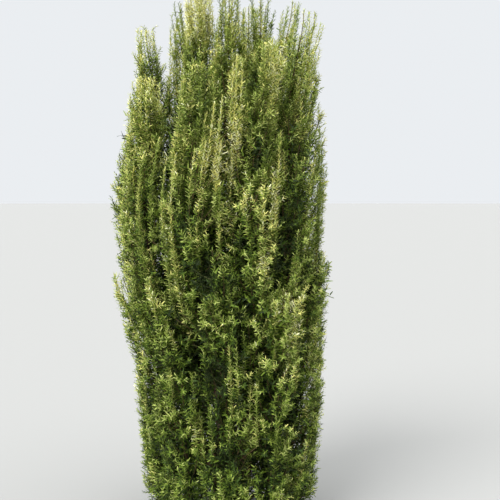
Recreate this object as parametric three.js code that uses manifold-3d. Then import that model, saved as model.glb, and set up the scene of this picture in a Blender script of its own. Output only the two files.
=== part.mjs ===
// A columnar yew, rooted in the ground: a short fluted trunk, steep boughs, and upright plumes of
// needles packed into one column. Millimetres, +Z up. The origin is the middle of the trunk's flat
// cut at ground level, and -Y is the side that faces the viewer.
import * as THREE from "three";
import { mergeVertices } from "three/addons/utils/BufferGeometryUtils.js";
import Module from "manifold-3d";

const wasm = await Module();
wasm.setup();

// Crown outline
const CROWN_FOOT_RADIUS = 425;
const CROWN_WIDEST_RADIUS = 552;
const CROWN_WIDEST_HEIGHT = 1640;
const CROWN_SHOULDER_RADIUS = 456;
const CROWN_SHOULDER_HEIGHT = 2600;
const CROWN_SWELL = 0.8; // under 1, the crown widens fastest near the ground
const CROWN_SHIFT = 12; // how far the crown's middle stands off to the right of the trunk's foot
const CROWN_SWAY = -66; // and how far it swings back to the left where it bulges
const CROWN_SWAY_HEIGHT = 1550;
const CROWN_SWAY_SPREAD = 450;

// Trunk
const TRUNK_HEIGHT = 330;
const TRUNK_RADIUS = 88;
const TRUNK_BELLY = 6; // how much fuller it is half-way up
const TRUNK_SHOULDER = 0.72; // share of its height where it starts to round over
const TRUNK_TOP_SHARE = 0.45; // radius of its top, as a share of the full radius
const TRUNK_FLARE = 42; // how far the root flare stands out at the ground
const TRUNK_FLARE_HEIGHT = 55;
const TRUNK_ROOTS = 5;
const TRUNK_ROOT_TURN = 0.6; // radians the roots are turned by
const TRUNK_WEB_SHARE = 0.44; // how far the flare stands out between two roots, as a share
const TRUNK_FLUTES = 9;
const TRUNK_FLUTE_DEPTH = 3;
const TRUNK_LEAN = 0.05; // sideways run for each unit of rise
const TRUNK_SIDES = 24;
const TRUNK_STEPS = 8;

// Boughs
const BOUGH_SIDES = 5;
const BOUGH_STEPS = 5;
const LOWEST_RISE = 4; // least rise of a bough before it turns up into its plume

// Plumes
const AXIS_STEPS = 14;
const BODY_SQUARENESS = 3; // the higher, the shorter the narrow ends of a plume's body
const BODY_BLUNTNESS = 0.7; // the lower, the blunter they are
const TIP_SHARE = 0.22; // how far inside the outline a tip stands, as a share of the plume's reach
const TIP_RISE = 480; // how far below the tip a plume starts to come out to the outline
const STEM_SHARE = 0.9; // radius of the stem, as a share of the bough's tip
const CORE_SIDES = 6;
const CORE_BAND = 160; // height of one ring of needles on the core
const FIRST_BAND = 20; // height in which the stem widens to the core
const CORE_SHARE = 0.47; // radius of the core, as a share of the plume's reach
const CORE_FOOT_SHARE = 0.75; // least fullness of its lowest ring, as a share of the foot's fullness
const CORE_START = 0.2; // bands between the body's lowest point and the first ring
const CORE_GIRTHS = [0.88, 1.12]; // least and most thickness of a ring, as a share
const CORE_NEEDLES_UP = [0.6, 1.6]; // least and most rise of the core's needles, as a share of a spray's
const CORE_NEEDLES_OUT = [0.5, 1.4]; // and how far they stand off
const SPIRE_SINK = 0.45; // how far a tip's shoots root below the body's top, as a share of the spire
const SPIRE_NEEDLES = 0.6; // size of their needles, as a share of the others'
const SPIRE_FIRST_DROP = 0.15; // how far the first shoot beside the leader ends below the tip, as a share
const SPIRE_DROP = 0.2; // how much farther down each next one ends
const SPIRE_DROP_JITTER = 0.15;
const SPIRE_WANDER = 0.8; // radians between the extremes of a shoot's direction
const SPIRE_ROOT_SHARE = 0.5; // how far off the axis a shoot roots, as a share of its tip's distance
const MERGE_WITHIN = 0.05; // slivers smaller than this are tidied away after fusing
const WELD_WITHIN = 0.001; // corners nearer to each other than this are one corner

// Sprays
const GOLDEN_TURN = 0.381966;
const SPRAY_SHAFT = 15; // radius of a spray's slim core
const SPRAY_INSET = 6; // how far a spray's tip stays inside the plume's reach
const SPRAY_BARE = 0.36; // share of a spray's length below its first needles
const SPRAY_NECK = 0.74; // and below its last ring
const SPRAY_TAPER = 0.7; // how slim the shaft gets towards its tip
const ROOT_SINK = 8; // least depth of a root above the underside of the core
const ROOT_SHARE = 0.25; // how far out from the axis a spray roots, as a share of its reach
const SPRAY_WANDER = 0.5; // radians between the extremes of a spray's direction
const SPRAY_OVERTOP = 0.3; // how far the topmost spray climbs past the body, as a share of the spire
const SPRAY_RISES = [0.85, 1.2]; // least and most of a spray's rise, as a share
const SPRAY_REACHES = [0.9, 1]; // least and most of how far it reaches out, as a share
const UPPER_FULLNESS = 0.4; // least fullness for the sprays of a plume's upper half
const NEEDLE_OUT = 30; // how far a needle's tip stands off its shoot
const NEEDLE_UP = 46; // and how far it rises
const NEEDLE_SEAT = 0.35; // where on its band a needle's rise is counted from, as a share
const RING_TWIST = 0.5; // turn from one ring to the next, as a share of one side

// Clearances
const SEAT_GAP = 0.3; // where one piece stands on another
const CLEARANCE = 2.5; // least room between sprays of two plumes, or a spray and a limb
const CORE_CLEARANCE = 8; // least room round a plume's core

// The three sets of plumes. Each plume is [turn in degrees, height of its tip]. Turn 0 points to the
// viewer's right and turn 270 to the viewer.
const PLUME_SETS = [
  {
    name: "inner",
    plumes: [[54, 2640], [126, 2610], [198, 2710], [270, 2690], [342, 2680]],
    foot: 900,
    footStagger: 60,
    stem: 40,
    ring: 158,
    reach: 118,
    facing: Math.PI,
    crowding: 1,
    sprays: 5,
    sprayRise: 190,
    lowestRise: 150,
    footFullness: 0.5,
    spire: 210,
    spireSpread: 62,
    shoots: 3,
    boughRadius: [20, 12],
    boughStart: [46, 285],
    boughRise: 0.5,
  },
  {
    name: "tall",
    plumes: [
      [2, 2585], [40, 2700], [64, 2700], [98, 2630], [130, 2700],
      [173, 2505], [213, 2215], [254, 2250], [294, 2350], [326, 2540],
    ],
    foot: 660,
    footStagger: 80,
    stem: 40,
    inset: 110,
    insetRise: 620,
    reach: 146,
    facing: 1.7,
    crowding: 1,
    sprays: 8,
    sprayRise: 190,
    lowestRise: 150,
    footFullness: 0.5,
    spire: 190,
    spireSpread: 70,
    shoots: 4,
    boughRadius: [21, 12],
    boughStart: [70, 238],
    boughRise: 0.5,
  },
  {
    name: "skirt",
    plumes: [
      [19, 1390], [54, 1260], [91, 1420], [125, 1290], [161, 1400],
      [195, 1270], [231, 1290], [269, 1430], [306, 1240], [343, 1410],
    ],
    foot: 86,
    footStagger: 5,
    stem: 14,
    inset: 0,
    insetRise: 200,
    reach: 142,
    facing: 1.3,
    crowding: 1.5,
    sprays: 7,
    sprayRise: 180,
    lowestRise: 26,
    footFullness: 1,
    spire: 150,
    spireSpread: 64,
    shoots: 3,
    boughRadius: [14, 9],
    boughStart: [74, 56],
    boughRise: 0.22,
  },
];

const COLOURS = { trunk: 0x5a4334, bough: 0x6b4b38, inner: 0x8a9440, tall: 0x6f7f33, skirt: 0x5c6d2b };
const BARK_ROUGHNESS = 0.9;
const NEEDLE_ROUGHNESS = 0.75;

// Small helpers

const FULL_TURN = 2 * Math.PI;
const ACROSS = new THREE.Vector3(1, 0.13, 0); // no shoot grows this way, so it can frame them all
const lerp = THREE.MathUtils.lerp;
const smooth = (share) => THREE.MathUtils.smoothstep(share, 0, 1);
const between = ([least, most], random) => lerp(least, most, random());
const outwardAt = (turn) => new THREE.Vector3(Math.cos(turn), Math.sin(turn), 0);

// A seeded stream of numbers from 0 to 1
function stream(seed) {
  let state = seed >>> 0;
  return () => {
    state = (state + 0x6d2b79f5) >>> 0;
    let mixed = Math.imul(state ^ (state >>> 15), state | 1);
    mixed ^= mixed + Math.imul(mixed ^ (mixed >>> 7), mixed | 61);
    return ((mixed ^ (mixed >>> 14)) >>> 0) / 2 ** 32;
  };
}

function solidOf(geometry) {
  const bare = new THREE.BufferGeometry();
  bare.setAttribute("position", geometry.getAttribute("position"));
  bare.setIndex(geometry.getIndex());
  const merged = mergeVertices(bare, WELD_WITHIN);
  const vertProperties = merged.getAttribute("position").array;
  const triVerts = new Uint32Array(merged.getIndex().array);
  return new wasm.Manifold(new wasm.Mesh({ numProp: 3, vertProperties, triVerts }));
}

function geometryOf(solid) {
  const mesh = solid.getMesh();
  const geometry = new THREE.BufferGeometry();
  geometry.setAttribute("position", new THREE.BufferAttribute(mesh.vertProperties, 3));
  geometry.setIndex(new THREE.BufferAttribute(mesh.triVerts, 1));
  geometry.computeVertexNormals();
  return geometry;
}

// Fusing can seal a hollow or leave a scrap: the largest body is the piece, with its hollows filled.
function wholePiece(solid) {
  const tidied = solidOf(geometryOf(solid.simplify(MERGE_WITHIN)));
  return tidied.decompose().reduce((best, body) => (body.volume() > best.volume() ? body : best));
}

// A closed cylinder whose corners go where a rule puts them
function shapedCylinder(sides, steps, placeCorner) {
  const geometry = new THREE.CylinderGeometry(1, 1, 1, sides, steps);
  const position = geometry.getAttribute("position");
  const corner = new THREE.Vector3();
  for (let i = 0; i < position.count; i++) {
    corner.fromBufferAttribute(position, i);
    const step = Math.round((corner.y + 0.5) * steps);
    const turn = Math.atan2(-corner.z, corner.x);
    const share = Math.hypot(corner.x, corner.z);
    placeCorner(corner, step, turn, share);
    position.setXYZ(i, corner.x, corner.y, corner.z);
  }
  return solidOf(geometry);
}

function distanceToLine(point, line) {
  const segment = new THREE.Line3();
  const nearest = new THREE.Vector3();
  let best = Infinity;
  for (let i = 1; i < line.length; i++) {
    segment.set(line[i - 1], line[i]).closestPointToPoint(point, true, nearest);
    best = Math.min(best, nearest.distanceTo(point));
  }
  return best;
}

// Crown outline and the axes of the plumes

function crownRadius(z) {
  if (z < CROWN_WIDEST_HEIGHT) {
    const share = Math.max(z, 0) / CROWN_WIDEST_HEIGHT;
    return lerp(CROWN_FOOT_RADIUS, CROWN_WIDEST_RADIUS, share ** CROWN_SWELL);
  }
  const share = (z - CROWN_WIDEST_HEIGHT) / (CROWN_SHOULDER_HEIGHT - CROWN_WIDEST_HEIGHT);
  return lerp(CROWN_WIDEST_RADIUS, CROWN_SHOULDER_RADIUS, smooth(share));
}

function crownSway(z) {
  return CROWN_SHIFT + CROWN_SWAY * Math.exp(-(((z - CROWN_SWAY_HEIGHT) / CROWN_SWAY_SPREAD) ** 2));
}

// The axis of an inner plume keeps to its ring. An outer one keeps its reach inside the crown's
// outline, its foot is drawn in towards the trunk, and its tip comes out to the outline.
function axisPoint({ set, foot, tip, turn }, z) {
  const drawnIn = set.inset * (1 - smooth((z - foot) / set.insetRise));
  const within = set.reach * lerp(1, TIP_SHARE, smooth(1 - (tip - z) / TIP_RISE));
  const radial = set.ring ?? crownRadius(z) - within - drawnIn;
  return outwardAt(turn).multiplyScalar(radial).add(new THREE.Vector3(crownSway(z), 0, z));
}

// How full a plume is at a share of its leafy body: narrow at both ends
function fullness(share) {
  const fromMiddle = Math.abs(2 * THREE.MathUtils.clamp(share, 0, 1) - 1);
  return (1 - fromMiddle ** BODY_SQUARENESS) ** BODY_BLUNTNESS;
}

function makePlumes() {
  return PLUME_SETS.flatMap((set, row) =>
    set.plumes.map(([degrees, tip], k) => {
      const plume = {
        set,
        name: `${set.name}_${String(k + 1).padStart(2, "0")}`,
        turn: THREE.MathUtils.degToRad(degrees),
        foot: set.foot + set.footStagger * (k % 2 ? 1 : -1),
        tip,
        bodyTop: tip - set.spire,
        seed: 1000 * (row + 1) + k,
      };
      const shares = Array.from({ length: AXIS_STEPS + 1 }, (_, i) => i / AXIS_STEPS);
      plume.axis = shares.map((share) => axisPoint(plume, lerp(plume.foot, tip, share)));
      plume.heading = plume.axis[1].clone().sub(plume.axis[0]).normalize();
      plume.limb = boughCurve(plume).getPoints(BOUGH_STEPS);
      return plume;
    }),
  );
}

// Trunk

function trunkRadius(share, turn) {
  const flare = TRUNK_FLARE * Math.exp((-share * TRUNK_HEIGHT) / TRUNK_FLARE_HEIGHT);
  const onRoot = 0.5 + 0.5 * Math.cos(TRUNK_ROOTS * turn + TRUNK_ROOT_TURN);
  const flutes = TRUNK_FLUTE_DEPTH * Math.cos(TRUNK_FLUTES * turn);
  const over = Math.max(0, (share - TRUNK_SHOULDER) / (1 - TRUNK_SHOULDER));
  const rounding = Math.sqrt(1 - (1 - TRUNK_TOP_SHARE ** 2) * over ** 2);
  const shaft = TRUNK_RADIUS + flutes + TRUNK_BELLY * Math.sin(Math.PI * share);
  return shaft * rounding + flare * lerp(TRUNK_WEB_SHARE, 1, onRoot);
}

function trunkSolid(grow) {
  return shapedCylinder(TRUNK_SIDES, TRUNK_STEPS, (corner, step, turn, away) => {
    const share = step / TRUNK_STEPS;
    const height = share * (TRUNK_HEIGHT + grow);
    corner.copy(outwardAt(turn)).multiplyScalar(away * (trunkRadius(share, turn) + grow));
    corner.add(new THREE.Vector3(TRUNK_LEAN * height, 0, height));
  });
}

// Boughs

function boughCurve({ set, turn, axis, heading }) {
  const [radial, height] = set.boughStart;
  const start = outwardAt(turn).multiplyScalar(radial);
  start.add(new THREE.Vector3(TRUNK_LEAN * height, 0, height));
  const end = axis[0].clone();
  const room = (end.z - height - LOWEST_RISE) / heading.z;
  const rise = Math.min(set.boughRise * start.distanceTo(end), room);
  return new THREE.QuadraticBezierCurve3(start, end.clone().addScaledVector(heading, -rise), end);
}

function boughSolid(plume, trunkCutter) {
  const [thick, thin] = plume.set.boughRadius;
  const curve = boughCurve(plume);
  const frames = curve.computeFrenetFrames(BOUGH_STEPS, false);
  const points = curve.getSpacedPoints(BOUGH_STEPS);
  const limb = shapedCylinder(BOUGH_SIDES, BOUGH_STEPS, (corner, step, turn, away) => {
    const radius = away * lerp(thick, thin, step / BOUGH_STEPS);
    corner.copy(points[step]);
    corner.addScaledVector(frames.normals[step], radius * Math.cos(turn));
    corner.addScaledVector(frames.binormals[step], radius * Math.sin(turn));
  });
  return wholePiece(limb.subtract(trunkCutter));
}

// Shoots

// A shoot is rings of corners along a line, from a flat cut or a point to a point. Each face between
// two rings is drawn out into a needle where needleAt gives one.
function shootSolid({ line, radii, sides, spin, flat, needleAt }) {
  const last = line.length - 1;
  const corners = [];
  const faces = [];
  const keep = (corner) => corners.push(corner) - 1;
  const turnOf = (step, k) => spin + ((k + RING_TWIST * step) * FULL_TURN) / sides;
  const frames = line.map((centre, i) => {
    const along = line[Math.min(i + 1, last)].clone().sub(line[Math.max(i - 1, 0)]).normalize();
    const side = ACROSS.clone().addScaledVector(along, -ACROSS.dot(along)).normalize();
    return { centre, along, side, other: new THREE.Vector3().crossVectors(along, side) };
  });
  const place = (step, up, out, turn) => {
    const { centre, along, side, other } = frames[step];
    const corner = centre.clone().addScaledVector(along, up);
    return corner.addScaledVector(side, out * Math.cos(turn)).addScaledVector(other, out * Math.sin(turn));
  };
  const ringAt = (step) =>
    Array.from({ length: sides }, (_, k) => keep(place(step, 0, radii[step], turnOf(step, k))));
  const needlePoint = (step, k, { up, out }) => {
    const band = line[step].distanceTo(line[step + 1]);
    const radius = 0.5 * (radii[step] + radii[step + 1]);
    return place(step, NEEDLE_SEAT * band + up, radius + out, turnOf(step + 0.5, k + 0.5));
  };
  const addFace = (rim, step, k) => {
    const needle = needleAt(step);
    const point = needle && needlePoint(step, k, needle);
    if (point && needle.fits(point)) {
      const end = keep(point);
      rim.forEach((corner, i) => faces.push([corner, rim[(i + 1) % rim.length], end]));
    } else {
      for (let i = 2; i < rim.length; i++) faces.push([rim[0], rim[i - 1], rim[i]]);
    }
  };
  const first = flat ? 0 : 1;
  let ring = ringAt(first);
  if (flat) {
    for (let k = 2; k < sides; k++) faces.push([ring[0], ring[k], ring[k - 1]]);
  } else {
    const start = keep(line[0]);
    for (let k = 0; k < sides; k++) faces.push([start, ring[(k + 1) % sides], ring[k]]);
  }
  for (let step = first; step < last; step++) {
    const next = step + 1 < last ? ringAt(step + 1) : Array(sides).fill(keep(line[last]));
    for (let k = 0; k < sides; k++) {
      const k2 = (k + 1) % sides;
      addFace([...new Set([ring[k], ring[k2], next[k2], next[k]])], step, k);
    }
    ring = next;
  }
  const geometry = new THREE.BufferGeometry();
  const numbers = corners.flatMap((corner) => corner.toArray());
  geometry.setAttribute("position", new THREE.Float32BufferAttribute(numbers, 3));
  geometry.setIndex(faces.flat());
  return { solid: solidOf(geometry), corners };
}

// The stem and leafy core of a plume. The stem stands a seat's gap clear of its bough's tip.
function coreSolid(plume, roomAt, fits, random) {
  const { set, axis, heading, foot, bodyTop } = plume;
  const line = [SEAT_GAP, set.stem].map((up) => axis[0].clone().addScaledVector(heading, up));
  const bands = Math.round((bodyTop - foot) / CORE_BAND);
  const rest = bodyTop - foot - set.stem - FIRST_BAND;
  for (let i = 0; i <= bands; i++) {
    line.push(axisPoint(plume, foot + set.stem + FIRST_BAND + (rest * i) / bands));
  }
  const stem = STEM_SHARE * set.boughRadius[1];
  const radii = line.map((point, i) => {
    const body = fullness((i - 2 + CORE_START) / bands);
    const full = i < 3 ? Math.max(body, CORE_FOOT_SHARE * set.footFullness) : body;
    const radius = CORE_SHARE * set.reach * full * between(CORE_GIRTHS, random);
    return i < 2 ? stem : Math.max(stem, Math.min(radius, roomAt(point)));
  });
  const needleAt = (step) => {
    if (step === 0) return null; // the stem is bare
    const up = NEEDLE_UP * between(CORE_NEEDLES_UP, random);
    return { up, out: NEEDLE_OUT * between(CORE_NEEDLES_OUT, random), fits };
  };
  const spin = FULL_TURN * random();
  return shootSolid({ line, radii, sides: CORE_SIDES, spin, flat: true, needleAt }).solid;
}

// A spray: a slim three-sided shoot with a needle out of each face, pointed at both ends
function spraySolid({ root, tip, bands, spin, size }, fits) {
  const middle = Array.from({ length: bands + 1 }, (_, i) => lerp(SPRAY_BARE, SPRAY_NECK, i / bands));
  const shares = [0, ...middle, 1];
  const line = shares.map((share) => root.clone().lerp(tip, share));
  const radii = shares.map((share) => SPRAY_SHAFT * lerp(1, SPRAY_TAPER, share));
  const needleAt = () => ({ up: NEEDLE_UP * size, out: NEEDLE_OUT * size, fits });
  return shootSolid({ line, radii, sides: 3, spin, flat: false, needleAt });
}

// Plumes

// Where the sprays of a plume's body root and end, from its foot up
function bodySprays(plume, random) {
  const { set, foot, bodyTop, turn } = plume;
  const lowestRoot = foot + set.stem + FIRST_BAND + ROOT_SINK;
  return Array.from({ length: set.sprays }, (_, k) => {
    const share = (k + 0.5) / set.sprays;
    const swing = 2 * ((k * GOLDEN_TURN) % 1) - 1;
    const outward = outwardAt(turn + swing * set.facing + SPRAY_WANDER * (random() - 0.5));
    const climb = (k / set.sprays) ** set.crowding;
    const tipHeight = lerp(lowestRoot + set.lowestRise, bodyTop + SPRAY_OVERTOP * set.spire, climb);
    const rise = Math.min(set.sprayRise * between(SPRAY_RISES, random), tipHeight - lowestRoot);
    const body = fullness((tipHeight - foot) / (bodyTop - foot));
    const full = Math.max(body, share < 0.5 ? set.footFullness : UPPER_FULLNESS);
    const reach = (set.reach - SPRAY_INSET) * full * between(SPRAY_REACHES, random);
    return {
      root: axisPoint(plume, tipHeight - rise).addScaledVector(outward, ROOT_SHARE * reach),
      tip: axisPoint(plume, tipHeight).addScaledVector(outward, reach),
      bands: 1,
      spin: FULL_TURN * random(),
      size: 1,
    };
  });
}

// The leader that makes the plume's point, and the shorter shoots round it
function spireSprays(plume, random) {
  const { set, bodyTop, tip, turn } = plume;
  const rootHeight = bodyTop - SPIRE_SINK * set.spire;
  return Array.from({ length: set.shoots }, (_, k) => {
    const outward = outwardAt(turn + k * FULL_TURN * GOLDEN_TURN + SPIRE_WANDER * (random() - 0.5));
    const drop = k ? SPIRE_FIRST_DROP + SPIRE_DROP * k + SPIRE_DROP_JITTER * random() : 0;
    const apart = k ? set.spireSpread : 0;
    return {
      root: axisPoint(plume, rootHeight).addScaledVector(outward, SPIRE_ROOT_SHARE * apart),
      tip: axisPoint(plume, tip - set.spire * drop).addScaledVector(outward, apart),
      bands: k ? 1 : 2,
      spin: FULL_TURN * random(),
      size: SPIRE_NEEDLES,
    };
  });
}

// A plume's own space is all that lies nearer its axis than any other plume's. What would leave it,
// or touch a limb, is left out.
function plumeSolid(plume, plumes, boughs) {
  const random = stream(plume.seed);
  const others = plumes.filter((other) => other !== plume);
  const limbs = boughs.filter((_, i) => plumes[i] !== plume);
  const nearestOther = (point) => Math.min(...others.map((other) => distanceToLine(point, other.axis)));
  const nearestLimb = (point) =>
    Math.min(...others.map((other) => distanceToLine(point, other.limb) - other.set.boughRadius[0]));
  const roomAt = (point) => Math.min(nearestLimb(point), nearestOther(point) / 2) - CORE_CLEARANCE;
  const inside = (point) => nearestOther(point) > distanceToLine(point, plume.axis) + 2 * CLEARANCE;
  const fits = (point) => inside(point) && nearestLimb(point) > CLEARANCE;
  const pieces = [coreSolid(plume, roomAt, fits, random)];
  for (const plan of [...bodySprays(plume, random), ...spireSprays(plume, random)]) {
    const { solid, corners } = spraySolid(plan, inside);
    const clear = limbs.every((limb) => limb.minGap(solid, CLEARANCE) >= CLEARANCE);
    if (clear && corners.every(inside)) pieces.push(solid);
  }
  return wholePiece(wasm.Manifold.union(pieces));
}

// The whole plant

function pieceMesh(name, solid, color, roughness) {
  const mesh = new THREE.Mesh(
    geometryOf(solid),
    new THREE.MeshStandardMaterial({ color, roughness, metalness: 0 }),
  );
  mesh.name = name;
  return mesh;
}

function columnarYew() {
  const yew = new THREE.Group();
  const plumes = makePlumes();
  const trunkCutter = trunkSolid(SEAT_GAP);
  const boughs = plumes.map((plume) => boughSolid(plume, trunkCutter));
  yew.add(pieceMesh("trunk", trunkSolid(0), COLOURS.trunk, BARK_ROUGHNESS));
  plumes.forEach((plume, i) => {
    yew.add(pieceMesh(`bough_${plume.name}`, boughs[i], COLOURS.bough, BARK_ROUGHNESS));
    const foliage = plumeSolid(plume, plumes, boughs);
    yew.add(pieceMesh(`plume_${plume.name}`, foliage, COLOURS[plume.set.name], NEEDLE_ROUGHNESS));
  });
  return yew;
}

export default columnarYew();
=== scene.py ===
import math

import bpy
import numpy as np
from bpy.props import EnumProperty, FloatProperty, FloatVectorProperty, IntProperty, PointerProperty
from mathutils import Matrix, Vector, noise


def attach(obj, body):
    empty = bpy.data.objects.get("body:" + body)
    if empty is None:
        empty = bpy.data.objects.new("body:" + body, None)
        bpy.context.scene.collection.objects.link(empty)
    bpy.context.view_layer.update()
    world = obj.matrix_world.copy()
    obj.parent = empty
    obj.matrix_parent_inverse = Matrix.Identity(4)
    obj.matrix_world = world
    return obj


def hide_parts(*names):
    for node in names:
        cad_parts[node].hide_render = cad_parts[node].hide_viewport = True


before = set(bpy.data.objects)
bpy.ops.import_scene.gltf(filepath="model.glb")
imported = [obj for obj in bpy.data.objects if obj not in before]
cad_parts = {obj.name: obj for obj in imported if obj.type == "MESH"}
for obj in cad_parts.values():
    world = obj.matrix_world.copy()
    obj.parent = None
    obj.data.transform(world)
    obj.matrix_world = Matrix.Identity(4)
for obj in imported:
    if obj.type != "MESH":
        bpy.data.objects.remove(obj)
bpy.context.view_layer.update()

bl_info = {
    "name": "Columnar Yew",
    "version": (1, 0, 0),
    "blender": (4, 5, 0),
    "location": "View3D > Sidebar > Columnar Yew",
    "description": "Grows a columnar yew: trunk, boughs, twigs and needles in upright plumes",
    "category": "Object",
}

# Crown rule, as in the part's source, in metres

GOLDEN_TURN = 0.381966
TIP_SHARE = 0.22  # how far inside the outline a tip stands, as a share of the plume's reach
TIP_RISE = 0.48  # how far below the tip a plume starts to come out to the outline
BODY_SQUARENESS = 3
BODY_BLUNTNESS = 0.7
UPPER_FULLNESS = 0.4
HEADING_SHARE = 1 / 14  # share of a stem that gives its heading at the foot
FIRST_BAND = 0.02  # height in which a stem widens to its foliage
ROOT_SINK = 0.008
SPRAY_INSET = 0.006
SPRAY_WANDER = 0.5  # radians between the extremes of a twig's direction
SPRAY_OVERTOP = 0.5  # how far the topmost twig climbs past the body, as a share of the spire
SPRAY_RISES = (0.85, 1.2)
SPRAY_REACHES = (0.9, 1.0)
SEAT_GAP = 0.0003
LOWEST_RISE = 0.004
STEM_SHARE = 0.9  # radius of a stem's foot, as a share of its bough's
SET_SEEDS = 1000  # how far apart the seeds of two sets are
USER_SEEDS = 100000  # how far apart the seeds are that two values of Seed give

# The three sets of plumes. Each plume is [turn in degrees, height of its tip, shift of its tint,
# share of its twigs that carry a string, height of the thin sprigs above its crest].
# Turn 0 points to the viewer's right and turn 270 to the viewer.
PLUME_SETS = {
    "inner": {
        "plumes": [
            [54, 2.64, 0.0, 0.4, 0.09], [126, 2.61, 0.2, 0.4, 0.2], [198, 2.71, 0.2, 0.3, 0.0],
            [270, 2.69, -0.1, 0.3, 0.12], [342, 2.68, -0.2, 0.4, 0.24],
        ],
        "foot": 0.9,
        "foot_stagger": 0.06,
        "stem": 0.04,
        "ring": 0.158,
        "inset": 0.0,
        "inset_rise": 0.2,
        "reach": 0.118,
        "facing": math.pi,
        "crowding": 1.0,
        "spray_rise": 0.19,
        "lowest_rise": 0.15,
        "foot_fullness": 0.5,
        "spire": 0.21,
        "spire_spread": 0.062,
        "bough_radius": (0.02, 0.012),
        "bough_start": (0.046, 0.285),
        "bough_rise": 0.5,
        "dense_from": 1.8,
        "free_top": True,
        "inner_step": 0.4,
        "inner_clear": 0.8,
        "inner_gain": 0.9,
        "twig_gain": 1.0,
        "spire_strings": 16,
        "hem": False,
    },
    "tall": {
        "plumes": [
            [2, 2.585, 0.6, 0.35, 0.17], [40, 2.7, 0.2, 0.5, 0.16], [64, 2.7, -0.2, 0.4, 0.19],
            [98, 2.63, 0.0, 0.5, 0.2], [130, 2.7, 0.1, 0.5, 0.115], [173, 2.505, 0.2, 0.6, 0.07],
            [213, 2.215, 0.1, 0.6, 0.0], [254, 2.25, 0.2, 0.4, 0.0], [294, 2.35, 0.2, 0.2, 0.0],
            [326, 2.54, 0.0, 0.25, 0.17],
        ],
        "foot": 0.66,
        "foot_stagger": 0.08,
        "stem": 0.04,
        "ring": None,
        "inset": 0.11,
        "inset_rise": 0.62,
        "reach": 0.146,
        "facing": 1.7,
        "crowding": 1.0,
        "spray_rise": 0.19,
        "lowest_rise": 0.15,
        "foot_fullness": 0.5,
        "spire": 0.19,
        "spire_spread": 0.07,
        "bough_radius": (0.021, 0.012),
        "bough_start": (0.07, 0.238),
        "bough_rise": 0.5,
        "dense_from": 1.05,
        "free_top": True,
        "inner_step": 0.75,
        "inner_clear": 0.45,
        "inner_gain": 0.9,
        "twig_gain": 1.12,
        "spire_strings": 16,
        "hem": False,
    },
    "skirt": {
        "plumes": [
            [19, 1.39, 0.1, 0.2, 0.0], [54, 1.26, -0.2, 0.2, 0.0], [91, 1.42, -0.4, 0.25, 0.0],
            [125, 1.29, 0.0, 0.2, 0.0], [161, 1.4, -0.2, 0.25, 0.0], [195, 1.27, -0.3, 0.2, 0.0],
            [231, 1.29, -0.4, 0.15, 0.0], [269, 1.43, -0.6, 0.15, 0.0], [306, 1.24, -0.2, 0.15, 0.0],
            [343, 1.41, 0.1, 0.2, 0.0],
        ],
        "foot": 0.086,
        "foot_stagger": 0.005,
        "stem": 0.014,
        "ring": None,
        "inset": 0.0,
        "inset_rise": 0.2,
        "reach": 0.142,
        "facing": 1.3,
        "crowding": 1.2,
        "spray_rise": 0.18,
        "lowest_rise": 0.026,
        "foot_fullness": 1.0,
        "spire": 0.15,
        "spire_spread": 0.064,
        "bough_radius": (0.014, 0.009),
        "bough_start": (0.074, 0.056),
        "bough_rise": 0.22,
        "dense_from": 0.0,
        "free_top": False,
        "inner_step": 0.7,
        "inner_clear": 0.15,
        "inner_gain": 1.5,
        "twig_gain": 1.0,
        "spire_strings": 7,
        "hem": True,
    },
}
SET_ORDER = ("inner", "tall", "skirt")

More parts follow.
